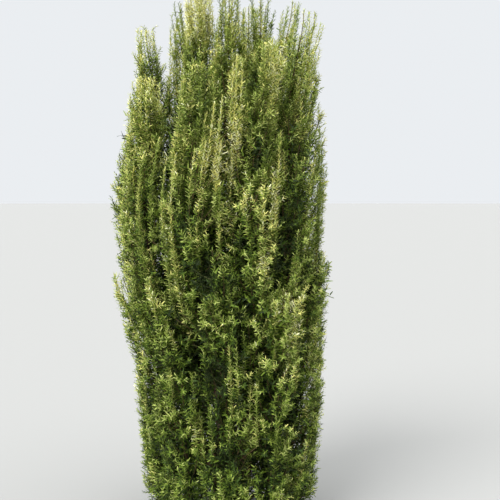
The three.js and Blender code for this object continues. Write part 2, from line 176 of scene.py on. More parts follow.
# Swells and bays of the crown's face: [turn in degrees, height, half its turn, half its height,
# strength]. A swell, above 0, has lighter tips: partly the plumes' own colour, partly painted light.
# A bay, below 0, lies back and is darker: painted shade.
SWELLS = (
    [198, 2.60, 36, 0.18, 4.2], [219, 2.18, 14, 0.05, 1.5], [276, 2.14, 3, 0.15, 0.7],
    [267, 2.05, 5, 0.08, 0.8], [303, 2.02, 6, 0.20, 0.5], [236, 1.93, 3, 0.05, 1.4],
    [226, 1.84, 4, 0.05, 0.7], [266, 1.84, 4, 0.10, 0.5], [278, 1.86, 6, 0.12, 3.2],
    [272, 1.79, 6, 0.09, 1.8], [38, 2.32, 16, 0.16, 1.3], [304, 1.68, 6, 0.14, 1.6],
    [286, 1.60, 18, 0.24, 0.9], [274, 1.46, 6, 0.08, 2.2], [226, 1.64, 6, 0.10, 0.8],
    [247, 1.46, 4, 0.32, 0.6], [357, 1.80, 12, 0.50, 0.2], [205, 1.72, 10, 0.30, 0.2],
    [236, 1.16, 8, 0.20, 0.5], [317, 1.14, 6, 0.09, 2.3], [265, 1.16, 7, 0.09, 1.3],
    [298, 1.32, 4, 0.06, 1.6], [314, 1.05, 14, 0.22, 1.0], [246, 1.02, 6, 0.06, 0.8],
    [287, 0.60, 4, 0.16, 2.0], [246, 0.54, 6, 0.09, 1.9], [277, 0.55, 4, 0.08, 0.9],
    [200, 2.31, 22, 0.07, -1.0], [266, 2.25, 4, 0.10, -1.2], [302, 2.22, 6, 0.13, 1.4],
    [284, 1.64, 4, 0.06, -1.2], [206, 0.40, 6, 0.07, -1.6], [250, 2.15, 9, 0.11, -1.2],
    [289, 2.14, 4, 0.12, -1.4], [258, 1.98, 4, 0.10, -0.6], [240, 2.02, 5, 0.10, -0.5],
    [293, 1.83, 4, 0.08, -2.2], [238, 1.60, 5, 0.20, -0.8], [257, 1.55, 5, 0.08, -1.6],
    [315, 1.53, 6, 0.20, -1.7], [286, 1.45, 7, 0.08, -2.4], [309, 1.33, 5, 0.08, -3.6],
    [264, 1.32, 7, 0.11, -3.3], [250, 1.28, 4, 0.06, -0.6], [312, 1.35, 5, 0.06, -0.8],
    [205, 1.28, 9, 0.14, -0.6], [280, 0.99, 6, 0.08, -2.4], [279, 0.76, 4, 0.07, -1.4],
    [239, 0.89, 5, 0.07, -1.3], [245, 0.86, 9, 0.07, -0.5], [218, 1.24, 5, 0.06, -1.0],
    [263, 0.81, 6, 0.11, -2.6], [256, 0.64, 5, 0.08, -1.5], [300, 0.52, 6, 0.13, -1.3],
    [211, 0.68, 5, 0.05, -1.4], [320, 0.58, 6, 0.22, -1.4], [270, 0.44, 5, 0.07, -3.0],
    [236, 0.42, 7, 0.08, -0.6], [299, 0.34, 5, 0.06, -1.2], [220, 0.48, 6, 0.06, -2.6],
    [297, 0.70, 5, 0.08, -1.2],
)

# Swells and bays by chance round the far side, in the same units, lighter and darker as above
HIDDEN_SWELLS = 24
HIDDEN_TURNS = (5, 195)
HIDDEN_HEIGHTS = (0.5, 2.3)
HIDDEN_HALF_TURNS = (6, 16)
HIDDEN_HALF_HEIGHTS = (0.12, 0.35)
HIDDEN_STRENGTHS = (-1.4, 0.9)

# Clumps all over the crown: patches of painted light and painted shade, at random
CLUMP_WAVES = 9
CLUMP_LENGTHS = (0.11, 0.26)  # metres from one clump to the next
PAINTED_CLUMP_LIGHT_AND_SHADE = 0.2

# Upright strings that stand out on the viewer's side: [turn in degrees, height of the foot, height
# of the tip, tint], by the set of plumes they grow on.
STREAKS = {
    "tall": (
        [227, 1.25, 1.86, 3.4], [236, 1.45, 1.92, 3.8], [243, 1.10, 1.78, 3.2], [248, 1.12, 1.84, 4.0],
        [263, 1.58, 1.90, 4.2], [258, 1.62, 1.86, 4.0], [271, 1.62, 1.90, 4.2], [303, 1.55, 1.95, 3.0],
        [212, 1.40, 1.80, 3.2], [274, 1.94, 2.24, 4.8], [276, 1.90, 2.29, 5.2], [279, 1.86, 2.27, 5.0],
        [265, 1.78, 2.07, 4.2], [269, 1.74, 2.10, 4.4], [261, 1.80, 2.02, 3.8], [271, 1.56, 1.74, 3.0],
        [273, 1.40, 1.70, 2.8], [344, 1.35, 1.75, 2.6], [348, 1.50, 1.92, 2.8], [340, 1.55, 1.98, 2.6],
        [352, 1.30, 1.70, 2.6],
    ),
    "skirt": (
        [272, 0.66, 0.98, 4.0], [260, 0.48, 0.70, 3.8], [287, 0.50, 0.76, 2.3], [314, 0.74, 1.14, 4.0],
        [308, 0.86, 1.20, 4.2], [229, 0.98, 1.28, 3.8], [235, 0.60, 0.86, 3.2], [300, 0.30, 0.62, 3.4],
        [178, 0.20, 0.58, 2.4], [182, 0.42, 0.86, 2.6], [175, 0.55, 1.00, 2.4], [179, 0.80, 1.10, 2.6],
        [1, 0.18, 0.56, 2.4], [357, 0.40, 0.84, 2.6], [4, 0.58, 1.02, 2.4], [359, 0.80, 1.12, 2.6],
        [174, 0.26, 0.62, 2.4], [185, 0.30, 0.70, 2.6], [353, 0.20, 0.60, 2.4], [7, 0.30, 0.72, 2.6],
    ),
}

# How far the foliage reaches from its axis, in metres
BODY_FILLING = 0.55  # under 1, the body keeps its width nearer to its ends
SIDE_REACH = 1.3  # how many times as far it reaches sideways
TOP_SIDE_REACH = 0.95  # the same where a plume stands clear of its neighbours
BAY_DEPTH = 0.3  # share of a plume's reach by which a bay of strength 1 lies back
OUTLINE_OVER = 0.012  # how far shoots may pass the crown's outline
FREE_TOP = 0.75  # how far below its crest a plume stands clear of its neighbours
FREE_TOP_BLEND = 0.25
SPIRE_NARROWEST = 0.028
SPIRE_WIDTH = 1.25
BLUNT_WIDTH = 1.65  # the same where no sprigs stand above the crest
SPIRE_BLUNTNESS = 0.4
TINY = 1e-6  # less than any length or turn that counts

# Tints of needles, from the darkest to the palest, and the painted light and painted shade that make them
# lighter or darker
TINTS = ("shade", "deep", "green", "fresh", "lime", "gold", "straw")
# Painted light: the top of the crown gets lighter tints, as if lit from above.
PAINTED_TOP_LIGHT = 1.1  # how many tints lighter the top of the crown is
PAINTED_TOP_LIGHT_FROM = 1.5
PAINTED_TOP_LIGHT_RISE = 0.9
# Painted light: each plume's crest gets lighter tints, as if lit from above.
PAINTED_CREST_LIGHT = 0.9  # how many tints lighter a plume's crest is
CREST_DEPTH = 0.16
# Partly the plumes' own colour, partly painted light on the swells and painted shade in the bays.
SWELL_TINT_AND_PAINTED_LIGHT = 1.2  # how many tints a swell of strength 1 is lighter
# Painted shade: a plume's flanks, towards the gaps between plumes, get darker tints.
FLANK_FROM = 0.35  # share of the reach from which a plume's flanks get darker
PAINTED_FLANK_SHADE = 0.7  # how many tints darker they are at its side
TINT_CAP = 4.5  # the lightest that a shoot's middle tint gets
CAP_GAIN = 0.35  # how much lighter it may get on a swell of strength 1

# Needles along a shoot
MIDDLE = 0.45  # share of the way along where a shoot has its own tint
TIP_SHORTENING = 0.3  # how much shorter the needles at its tip are
SPLAY_SHARES = (1.1, 0.62)  # how far needles splay at its foot and its tip, as shares of its own
NEEDLE_TURN = 2.399963  # radians from one needle to the next
NEEDLE_TURN_JITTER = 0.35
NEEDLE_SPLAY_JITTER = 0.22
NEEDLE_LENGTH_JITTER = 0.2
NEEDLE_TINT_JITTER = 1.4
NEEDLE_TWIST = 0.5  # radians from its foot to its tip
NEEDLE_FOOT = 0.5  # half its width at the foot and at the tip
NEEDLE_TIP = 0.24
NEEDLE_HOOK = 0.06  # how far its tip bends aside
NEEDLE_SLANT = 0.97  # length of its shorter side

# Kinds of shoots: how many tints lighter they are than their plume, or than the shoot that bears
# them, how far that varies, the size of their needles, how far these splay in radians, how many
# tints lighter the tip is, and how crowded they are. Inner shoots have just this tint, and each
# streak has the tint in its row.
SHOOTS = {
    "twig": {"tint": 1.3, "varies": 0.8, "size": 1.0, "splay": 1.0, "tip_gain": 0.0, "crowd": 1.0},
    "tuft": {"tint": 2.35, "varies": 1.6, "size": 1.0, "splay": 1.15, "tip_gain": 1.3, "crowd": 1.45},
    "leader": {"tint": 3.7, "varies": 1.2, "size": 1.15, "splay": 1.3, "tip_gain": 1.0, "crowd": 1.6},
    "streak": {"tint": 0.0, "varies": 0.0, "size": 0.95, "splay": 1.0, "tip_gain": 0.8, "crowd": 2.2},
    "stem": {"tint": 2.2, "varies": 0.0, "size": 1.0, "splay": 1.25, "tip_gain": 1.3, "crowd": 1.4},
    "crest": {"tint": 2.5, "varies": 1.4, "size": 1.1, "splay": 1.25, "tip_gain": 1.3, "crowd": 1.6},
    "sprig": {"tint": 0.9, "varies": 1.4, "size": 1.05, "splay": 1.25, "tip_gain": 1.3, "crowd": 1.4},
    "lateral": {"tint": 0.2, "varies": 0.0, "size": 0.95, "splay": 1.15, "tip_gain": 1.3, "crowd": 1.25},
    "hem": {"tint": 1.2, "varies": 1.2, "size": 1.0, "splay": 1.2, "tip_gain": 1.3, "crowd": 1.45},
    "hem side": {"tint": 0.4, "varies": 0.0, "size": 1.0, "splay": 1.1, "tip_gain": 1.3, "crowd": 1.45},
    "top": {"tint": 1.6, "varies": 1.2, "size": 1.0, "splay": 1.2, "tip_gain": 1.3, "crowd": 1.45},
    # Inner shoots are painted shade: large dark needles that close the view through the crown where its
    # inside lies in shade.
    "inner": {"tint": 0.4, "varies": 0.8, "size": 2.0, "splay": 1.25, "tip_gain": 0.5, "crowd": 0.4},
}
RISING = (0.65, 0.8)  # how far out and up a short side shoot runs, as shares of its length

# Stems and twigs
STEM_STEPS = 26
STEM_TIP_RADIUS = 0.0016
STEM_TIP_GAP = 0.01
STEM_TAPER = 0.8
TWIG_SHARE = 0.84  # how much of the plume's reach a twig covers before its shoots take over
TWIG_SWELL = 0.75  # how far out a twig's bend stands, as a share of its run
TWIG_BEND_RISE = 0.3
TWIG_STEPS = 5
TWIG_NEEDLES_FROM = 2  # the step from which it carries needles itself
TWIG_RADII = (0.0036, 0.0016)
TWIG_OUTWARD = 1.35  # over 1, more twigs point outwards than sideways
SPARSE_SHARE = 3  # one twig in three grows where the crown hides them

# Tufts of shoots on a twig
TUFT_SEATS = (0.52, 0.78, 1.0)  # where on its twig a tuft stands
TUFT_SHOOTS = (1, 2, 4)
TUFT_SEAT_STEP = 0.04  # how much farther in each next shoot starts
TUFT_WANDER = 1.2  # radians between the extremes of its direction
TUFT_LEAN = 0.7  # how far outward a tuft points, in radians off the vertical
TUFT_OPENINGS = (0.15, 1.0)  # radians between a tuft's middle and its shoots
TUFT_TOP_LEAN = 0.52  # the lean at the plume's top
TUFT_TOP_OPENING = 0.9  # share of the openings there
TUFT_SIZES = (0.75, 1.2)
TUFT_SPIN = 0.3  # how unevenly its shoots stand round its middle
# Painted shade: tufts farther in along a twig, deeper in the crown, get darker tints.
TUFT_SEAT_GAIN = 2.4  # how many tints lighter it is for each length of twig farther out
TUFT_TINT_SEAT = 0.9  # where it has its own tint
SHOOT_LENGTHS = (0.6, 1.5)
SHOOT_SIZES = (0.85, 1.15)
SHOOT_TINTS = 0.8
SHOOT_BEND = 0.55  # where a shoot bends
SHOOT_SAG = 0.12  # how far it bends, as a share of its length
SHOOT_STEPS = 2
SHOOT_RADII = (0.0014, 0.0007)

# Leaders, which climb from a twig as upright strings
LEADER_SEAT = 0.8  # where on its twig one starts
LEADER_FACING = -0.2  # cosine of how far round the plume they grow
LEADER_WANDER = 0.5
LEADER_LENGTHS = (0.55, 1.35)
LEADER_TIP_GAP = 0.02
LEADER_OUT = 0.9  # how far out its tip stands, as a share of the reach
LEADER_LOW = 0.22  # where on its height it has turned upright
LEADER_BEND = 0.87  # how far out it does so
LEADER_STEPS = 5
LATERALS = 3
LATERAL_LENGTHS = (0.025, 0.05)
LATERAL_SHORTENING = 0.4  # how much shorter the upper ones are
STREAK_POINTS = 7
STREAK_INSET = 0.036  # how far inside the crown's outline a streak stands
STREAK_LATERALS = 0.8  # how long a streak's laterals are, as a share of the others
STREAK_ROOT = 0.14  # how far below its foot a streak leaves the stem
STREAK_LOWEST = 0.05  # and how far above the stem's foot at least

# Crests of upright strings, and the thin sprigs above them
CREST_STEM = 0.6  # how far below the body's top the stem has needles, as a share of the spire
CREST_STEM_GAP = 0.012
CREST_STEM_POINTS = 7
STRING_DROPS = (0.01, 0.42)  # how far below the plume's crest they end
STRING_LENGTHS = (0.2, 0.42)
STRING_WANDER = 0.6
STRING_OUT = 0.95
STRING_SEATS = (0.3, 1.0)  # squares of how far out they stand
STRING_ROOT = 0.25  # how far out their roots stand, as a share of how far their tips do
STRING_LOW = 0.35  # where on its height a string has turned upright
STRING_BEND = 0.85
STRING_STEPS = 4
SPRIGS = 7
SPRIG_DROPS = (0.05, 0.75)  # how far below the plume's tip a sprig ends, as a share of their height
SPRIG_OUT = 0.06

# Short shoots round a stem: green ones in its free top, and dark ones inside the crown, which are painted
# shade
TOP_STEP = 0.013  # height between one and the next
TOP_DEPTH = 0.62  # how far below the crest they go
TOP_DROP = 0.05
TOP_LENGTHS = (0.05, 0.11)
TOP_ROOT = 0.5  # how far out they may start, as a share of the reach
TOP_RISING = (0.6, 0.8)
TOP_BEND = 0.15
TOP_CROWDING = 1.2
BLUNT_FILLING = 2.0  # how many times as many fill a crest without sprigs
INNER_STEP = 0.011
INNER_FOOT_GAP = 0.02
INNER_LENGTHS = (0.08, 0.17)
INNER_LEANS = (0.5, 1.3)
INNER_CROWDING = 1.15  # over 1, they stand closer together low down
SIDE_GAIN = 0.3  # how much longer they are towards the plumes on either side
OUTWARD_LOSS = 0.25  # how much shorter those are that point away from the hollow between the plumes

# Hem of low twigs that spread from a plume's foot
HEM_TWIGS = 12
HEM_FACING = 2.2  # radians to either side
HEM_ROOTS = (0.01, 0.12)
HEM_REACHES = (0.6, 0.98)
HEM_HEIGHTS = (0.022, 0.11)
HEM_BEND = 0.02
HEM_STEPS = 3
HEM_SHOOTS = 3
HEM_LENGTHS = (0.04, 0.08)
HEM_TURNS = (-1.2, 1.2)
HEM_RUN = 0.8
HEM_RISES = (-0.3, 0.9)

# Trunk and boughs
TRUNK_SHOULDER = 0.72
TRUNK_TOP_SHARE = 0.45
TRUNK_ROOTS = 5
TRUNK_ROOT_TURN = 0.6
TRUNK_WEB_SHARE = 0.44
TRUNK_FLUTES = 9
TRUNK_CAP = 0.004  # how far the middle of its top stands up
TRUNK_EVEN_BARK = 0.4  # relief that adds nothing to its radius
BOUGH_CAP = 0.001
BOUGH_COLLAR = 0.35  # how much thicker a bough is where it leaves the trunk
BOUGH_COLLAR_SHARE = 0.06
BOUGH_RELIEF = 0.35  # relief of its bark, as a share of the trunk's
BOUGH_EVEN_BARK = 0.3
BOUGH_BARK_STRETCH = 1.5
BOUGH_BARK_SEEDS = 0.37
BOUGH_SIDE = (0.13, 1.0, 0.0)  # a direction that no bough points in
BARK_RIDGES = (5.0, 5.0)  # how fine the relief is round a limb and along it
BARK_FINE = (16.0, 11.0)
BARK_PLATES = (3.0, 26.0)
BARK_PLATE_SHARE = 0.5
BARK_STEPS = 3.0
BARK_STEP_HEIGHT = 0.25
BARK_SHARES = (0.55, 0.45)  # of the stepped ridges and of the fine grain

# Finishes: roughness and specular level, by material
NEEDLE_FINISH = (0.6, 0.25)
FLOOR_FINISH = (0.9, 0.2)
TWIG_FINISHES = {
    "Old Bark": ("twig_bark_old", "twig_old", 0.85, 0.3),
    "Young Bark": ("twig_bark_young", "twig_young", 0.75, 0.3),
    "Shoot Skin": ("shoot_skin", "shoot_skin", 0.6, 0.4),
}
BARKS = {
    "trunk": {"Scale": 46.0, "Stretch": 0.28, "bump": 0.003},
    "bough": {"Scale": 90.0, "Stretch": 0.3, "bump": 0.0015},
}
BARK_SPECULAR = 0.3
BARK_BUMP = 0.8
BARK_FIBRES = {"Detail": 6.0, "Roughness": 0.65}
BARK_PLATE_SCALE = 0.4
BARK_WARP = 0.035
BARK_CRACK = 0.16  # width of a crack, as a share of a plate
BARK_PLATE_HEIGHT = 0.6
BARK_WEATHERED = (0.42, 0.62)
BARK_ROUGHNESS = (0.95, 0.72)

# Stage
FLOOR_CORNERS = 96
DOME_COLOUR = (0.94, 0.97, 1.0)
KEY_PLACE = (-3.2, -4.2, 4.6)
TOP_PLACE = (0.6, -0.8, 6.0)
SENSOR_WIDTH = 36.0
FRAME_WIDTH = 500.0


# Settings

def length_property(name, description, default):
    return FloatProperty(
        name=name, description=description, default=default, subtype="DISTANCE", unit="LENGTH"
    )


def angle_property(name, description, default):
    return FloatProperty(
        name=name, description=description, default=default, subtype="ANGLE", unit="ROTATION"
    )


def number_property(name, description, default):
    return FloatProperty(name=name, description=description, default=default)


def count_property(name, description, default, least):
    return IntProperty(name=name, description=description, default=default, min=least)


def colour_property(name, description, default):
    return FloatVectorProperty(
        name=name, description=description, default=default, subtype="COLOR", size=3, min=0.0, max=1.0
    )


class YewCrownSettings(bpy.types.PropertyGroup):
    """Outline of the crown."""

    foot_radius: length_property("Foot Radius", "Radius of the crown at the ground", 0.425)
    widest_radius: length_property("Widest Radius", "Radius of the crown at its widest", 0.552)
    widest_height: length_property("Widest Height", "Height at which the crown is widest", 1.64)
    shoulder_radius: length_property("Shoulder Radius", "Radius of the crown below its tips", 0.456)
    shoulder_height: length_property("Shoulder Height", "Height at which the tips begin", 2.6)
    swell: number_property("Swell", "Under 1, the crown widens fastest low down", 0.8)
    shift: length_property("Shift", "How far the crown's middle stands to the right of the trunk", 0.012)
    sway: length_property("Sway", "How far the crown swings sideways where it bulges", -0.066)
    sway_height: length_property("Sway Height", "Height of that bulge", 1.55)
    sway_spread: length_property("Sway Spread", "How far up and down the bulge fades out", 0.45)


class YewTrunkSettings(bpy.types.PropertyGroup):
    """Size and relief of the trunk and the boughs."""

    height: length_property("Height", "Height of the trunk's fork", 0.33)
    radius: length_property("Radius", "Radius of the trunk without its flare", 0.088)
    belly: length_property("Belly", "How much fuller the trunk is half-way up", 0.006)
    flare: length_property("Flare", "How far the root flare stands out", 0.042)
    flare_height: length_property("Flare Height", "How fast the flare fades out upwards", 0.055)
    flute_depth: length_property("Flute Depth", "Depth of the trunk's flutes", 0.003)
    relief: length_property("Bark Relief", "Height of the plates of bark", 0.0035)
    lean: number_property("Lean", "Sideways run for each unit of rise", 0.05)
    sides: count_property("Sides", "Corners round the trunk", 168, 24)
    rings: count_property("Rings", "Rings of corners up the trunk", 84, 8)
    bough_sides: count_property("Bough Sides", "Corners round a bough", 18, 6)
    bough_rings: count_property("Bough Rings", "Rings along a bough", 44, 8)


class YewFoliageSettings(bpy.types.PropertyGroup):
    """Size and number of twigs, shoots and needles."""

    twig_step: length_property("Twig Step", "Height between one twig and the next on a stem", 0.036)
    shoot_length: length_property("Shoot Length", "Mean length of a side shoot", 0.072)
    leader_length: length_property("Leader Length", "Mean length of an upright leader", 0.31)
    needle_length: length_property("Needle Length", "Length of a needle", 0.021)
    needle_spacing: length_property("Needle Spacing", "Length of shoot for each needle", 0.005)
    needle_width: number_property("Needle Width", "Width at the foot, as a share of the length", 0.275)
    shoot_sides: count_property("Shoot Sides", "Corners round a shoot", 3, 3)
    twig_sides: count_property("Twig Sides", "Corners round a twig or stem", 5, 3)
    seed: count_property("Seed", "Start of every random draw", 41, 0)


class YewColourSettings(bpy.types.PropertyGroup):
    """Colours of needles, twigs and bark."""

    # Shade is painted shade: the darkest tint, given to needles deep in the crown, on the flanks and in the
    # bays.
    shade: colour_property("Shade", "Needles deep in the crown", (0.015, 0.028, 0.004))
    deep: colour_property("Deep", "Old needles", (0.047, 0.088, 0.009))
    green: colour_property("Green", "Needles of the second year", (0.136, 0.206, 0.021))
    fresh: colour_property("Fresh", "Needles of this year", (0.288, 0.366, 0.062))
    lime: colour_property("Lime", "Young tips", (0.492, 0.562, 0.158))
    gold: colour_property("Gold", "Sunlit tips", (0.738, 0.706, 0.215))
    straw: colour_property("Straw", "Palest tips", (0.885, 0.880, 0.540))
    twig_old: colour_property("Old Twig", "Bark of stems and older twigs", (0.080, 0.045, 0.025))
    twig_young: colour_property("Young Twig", "Bark of young twigs", (0.120, 0.085, 0.035))
    shoot_skin: colour_property("Shoot", "Skin of green shoots", (0.110, 0.120, 0.035))
    bark_dark: colour_property("Dark Bark", "Cracks in the bark", (0.030, 0.018, 0.012))
    bark_red: colour_property("Red Bark", "Fresh bark under the plates", (0.200, 0.075, 0.040))
    bark_grey: colour_property("Grey Bark", "Weathered plates of bark", (0.200, 0.150, 0.115))


class YewStageSettings(bpy.types.PropertyGroup):
    """Camera, lights and floor."""

    camera_distance: length_property("Camera Distance", "From the camera to the plant's middle", 4.2)
    camera_height: length_property("Camera Height", "Eye height above the ground", 1.64)
    camera_aside: length_property("Camera Aside", "How far right of the plant it stands", 0.111)
    focal_pixels: number_property("Focal Length", "In pixels of the 500 wide frame", 832.0)
    horizon_rise: number_property("Horizon", "Pixels from the frame's middle up to it", 50.0)
    floor_radius: length_property("Floor Radius", "Radius of the floor", 400.0)
    floor_colour: colour_property("Floor", "Colour of the floor", (0.36, 0.36, 0.35))
    dome_strength: number_property("Dome", "Strength of the soft light all round", 0.88)
    key_power: number_property("Key", "Strength of the key light", 3.1)
    key_width: angle_property("Key Width", "Width of the key light in the sky", 0.6)
    top_power: number_property("Top", "Strength of the overhead light", 2.2)
    top_width: angle_property("Top Width", "Width of the overhead light in the sky", 1.2)


class YewSettings(bpy.types.PropertyGroup):
    """All that a user would change on the plant and its stage."""

    crown: PointerProperty(type=YewCrownSettings)
    trunk: PointerProperty(type=YewTrunkSettings)
    foliage: PointerProperty(type=YewFoliageSettings)
    colours: PointerProperty(type=YewColourSettings)
    stage: PointerProperty(type=YewStageSettings)


# Small helpers

def lerp(low, high, share):
    return low + (high - low) * share


def smooth(share):
    share = np.clip(share, 0.0, 1.0)
    return share * share * (3.0 - 2.0 * share)


def even_shares(count):
    """A row of shares from 0 to 1."""
    return np.linspace(0.0, 1.0, count)[None, :]


def between(rng, limits, count):
    return rng.uniform(limits[0], limits[1], count)


def shifts(rng, width, count):
    """Random shifts about 0, with this much between their extremes."""
    return width * (rng.random(count) - 0.5)


def swings(k):
    """Shares from -1 to 1 that fill their range evenly in any order."""
    return 2 * ((k * GOLDEN_TURN) % 1) - 1


def directions(turns):
    """Level directions for an array of turns."""
    return np.stack([np.cos(turns), np.sin(turns), np.zeros_like(turns)], axis=-1)


def bent_lines(start, middle, end, steps):
    """A quadratic curve for each row of three arrays of points, as steps + 1 points."""
    share = np.linspace(0.0, 1.0, steps + 1)[None, :, None]
    start, middle, end = start[:, None], middle[:, None], end[:, None]
    return (1 - share) ** 2 * start + 2 * share * (1 - share) * middle + share**2 * end


def rising_tips(root, out, length, rising):
    """Ends of straight shoots that run out and up by the shares given of their length."""
    tip = root + out * (rising[0] * length)[:, None]
    tip[:, 2] += rising[1] * length
    return tip


def mesh_from(name, points, faces, material):
    mesh = bpy.data.meshes.new(name)
    mesh.from_pydata(points.tolist(), [], faces)
    mesh.materials.append(material)
    mesh.polygons.foreach_set("use_smooth", [True] * len(mesh.polygons))
    mesh.update()
    return mesh


def shown_piece(name, mesh, slot, *nodes):
    """Links a finished mesh as a piece of the plant that stands for CAD nodes."""
    piece = bpy.data.objects.new(name, mesh)
    bpy.context.scene.collection.objects.link(piece)
    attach(piece, "root")
    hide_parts(*nodes)
    return piece


# Growth rule of the crown

class Plume:
    """One upright mass of foliage: its axis, its limb and how far it reaches."""

    def __init__(self, settings, set_name, number):
        self.rule = PLUME_SETS[set_name]
        degrees, self.tip, self.tint, self.strings, thin = self.rule["plumes"][number]
        self.crest = self.tip - thin
        self.blunt = thin == 0
        self.top_width = BLUNT_WIDTH if self.blunt else SPIRE_WIDTH
        self.crown = settings.crown
        self.trunk_lean = settings.trunk.lean
        self.set_name = set_name
        self.name = f"{set_name}_{number + 1:02d}"
        self.turn = math.radians(degrees)
        self.outward = np.array([math.cos(self.turn), math.sin(self.turn), 0.0])
        self.sideways = np.array([-self.outward[1], self.outward[0], 0.0])
        stagger = self.rule["foot_stagger"]
        self.foot = self.rule["foot"] + (stagger if number % 2 else -stagger)
        self.body_top = self.tip - self.rule["spire"]
        self.seed = SET_SEEDS * (SET_ORDER.index(set_name) + 1) + number
        first, second = self.axis(np.array([self.foot, lerp(self.foot, self.tip, HEADING_SHARE)]))
        self.seat = first
        self.heading = (second - first) / np.linalg.norm(second - first)

    def crown_radius(self, z):
        crown = self.crown
        climbed = np.clip(z / crown.widest_height, 0, 1) ** crown.swell
        low = lerp(crown.foot_radius, crown.widest_radius, climbed)
        share = (z - crown.widest_height) / (crown.shoulder_height - crown.widest_height)
        high = lerp(crown.widest_radius, crown.shoulder_radius, smooth(share))
        return np.where(z < crown.widest_height, low, high)

    def sway(self, z):
        crown = self.crown
        return crown.shift + crown.sway * np.exp(-(((z - crown.sway_height) / crown.sway_spread) ** 2))

    def axis_radius(self, z):
        """How far the axis stands from the crown's middle at an array of heights."""
        rule = self.rule
        if rule["ring"] is not None:
            return np.full_like(z, rule["ring"])
        drawn_in = rule["inset"] * (1 - smooth((z - self.foot) / rule["inset_rise"]))
        within = rule["reach"] * lerp(1, TIP_SHARE, smooth(1 - (self.tip - z) / TIP_RISE))
        return self.crown_radius(z) - within - drawn_in

    def axis(self, z):
        """Points on the axis at an array of heights."""
        points = self.axis_radius(z)[..., None] * self.outward
        points[..., 0] += self.sway(z)
        points[..., 2] = z
        return points

    def fullness(self, z):
        """How full the body is at a height, as a share of the plume's reach."""
        share = (z - self.foot) / (self.body_top - self.foot)
        from_middle = np.abs(2 * np.clip(share, 0, 1) - 1)
        rounded = (1 - from_middle**BODY_SQUARENESS) ** BODY_BLUNTNESS
        return np.maximum(rounded, np.where(share < 0.5, self.rule["foot_fullness"], UPPER_FULLNESS))

    def reach(self, z):
        """How far from the axis the foliage reaches: the body, narrowed by the spire."""
        rule = self.rule
        body = (rule["reach"] - SPRAY_INSET) * self.fullness(z) ** BODY_FILLING
        left = np.clip((self.crest - z) / rule["spire"], 0, None)
        width = self.top_width * rule["spire_spread"]
        return np.minimum(body, SPIRE_NARROWEST + width * left**SPIRE_BLUNTNESS)

    def freed(self, z):
        """How far the plume stands clear of its neighbours at a height: 0 among them, 1 above them."""
        if not self.rule["free_top"]:
            return np.zeros_like(z)
        return smooth((z - self.crest + FREE_TOP) / FREE_TOP_BLEND)

    def kept_in(self, points):
        """Draws points that stand past the foliage's reach, the crown's outline or the tip back in.
        Sideways the foliage reaches farther, so that it meets the next plume."""
        points[..., 2] = np.minimum(points[..., 2], self.tip)
        axis = self.axis(points[..., 2])
        away = points - axis
        outward = away @ self.outward
        side_reach = lerp(SIDE_REACH, TOP_SIDE_REACH, self.freed(points[..., 2]))
        distance = np.maximum(np.hypot(outward, away @ self.sideways / side_reach), TINY)
        share = np.minimum(1.0, self.reach(points[..., 2]) / distance)
        return self.kept_inside(axis + away * share[..., None])

    def kept_inside(self, points):
        """Draws points that stand past the crown's outline back in to it."""
        room = self.crown_radius(points[..., 2]) - self.axis_radius(points[..., 2]) + OUTLINE_OVER
        outward = (points - self.axis(points[..., 2])) @ self.outward
        return points - np.maximum(0.0, outward - room)[..., None] * self.outward

    # The flanks found here get painted shade: darker tints.
    def flank(self, points):
        """How far points stand on the plume's flanks: 0 at its face, 1 at its side."""
        aside = np.abs((points - self.axis(points[..., 2])) @ self.sideways)
        return smooth((aside / self.reach(points[..., 2]) - FLANK_FROM) / (1 - FLANK_FROM))

    def limb(self):
        """The three points that bend its bough."""
        radial, height = self.rule["bough_start"]
        lean = self.trunk_lean * height
        start = self.outward * radial + np.array([lean, 0.0, height])
        room = (self.seat[2] - height - LOWEST_RISE) / self.heading[2]
        rise = min(self.rule["bough_rise"] * np.linalg.norm(self.seat - start), room)
        return start, self.seat - self.heading * rise, self.seat


def all_plumes(settings, set_name):
    return [Plume(settings, set_name, k) for k in range(len(PLUME_SETS[set_name]["plumes"]))]


def all_swells(seed):
    """The swells that the viewer sees, and others by chance round the far side."""
    rng = np.random.default_rng(seed)
    ranges = (HIDDEN_TURNS, HIDDEN_HEIGHTS, HIDDEN_HALF_TURNS, HIDDEN_HALF_HEIGHTS, HIDDEN_STRENGTHS)
    hidden = np.stack([between(rng, pair, HIDDEN_SWELLS) for pair in ranges], axis=1)
    return np.concatenate([np.array(SWELLS), hidden])


def clump_waves(seed):
    """Waves through the crown, whose sum makes clumps of painted light and painted shade: their directions
    and their phases.
    """
    rng = np.random.default_rng(seed + 1)
    ways = rng.normal(size=(CLUMP_WAVES, 3))
    ways /= np.linalg.norm(ways, axis=1)[:, None]
    ways *= 2 * math.pi / between(rng, CLUMP_LENGTHS, CLUMP_WAVES)[:, None]
    return ways, between(rng, (0.0, 2 * math.pi), CLUMP_WAVES)


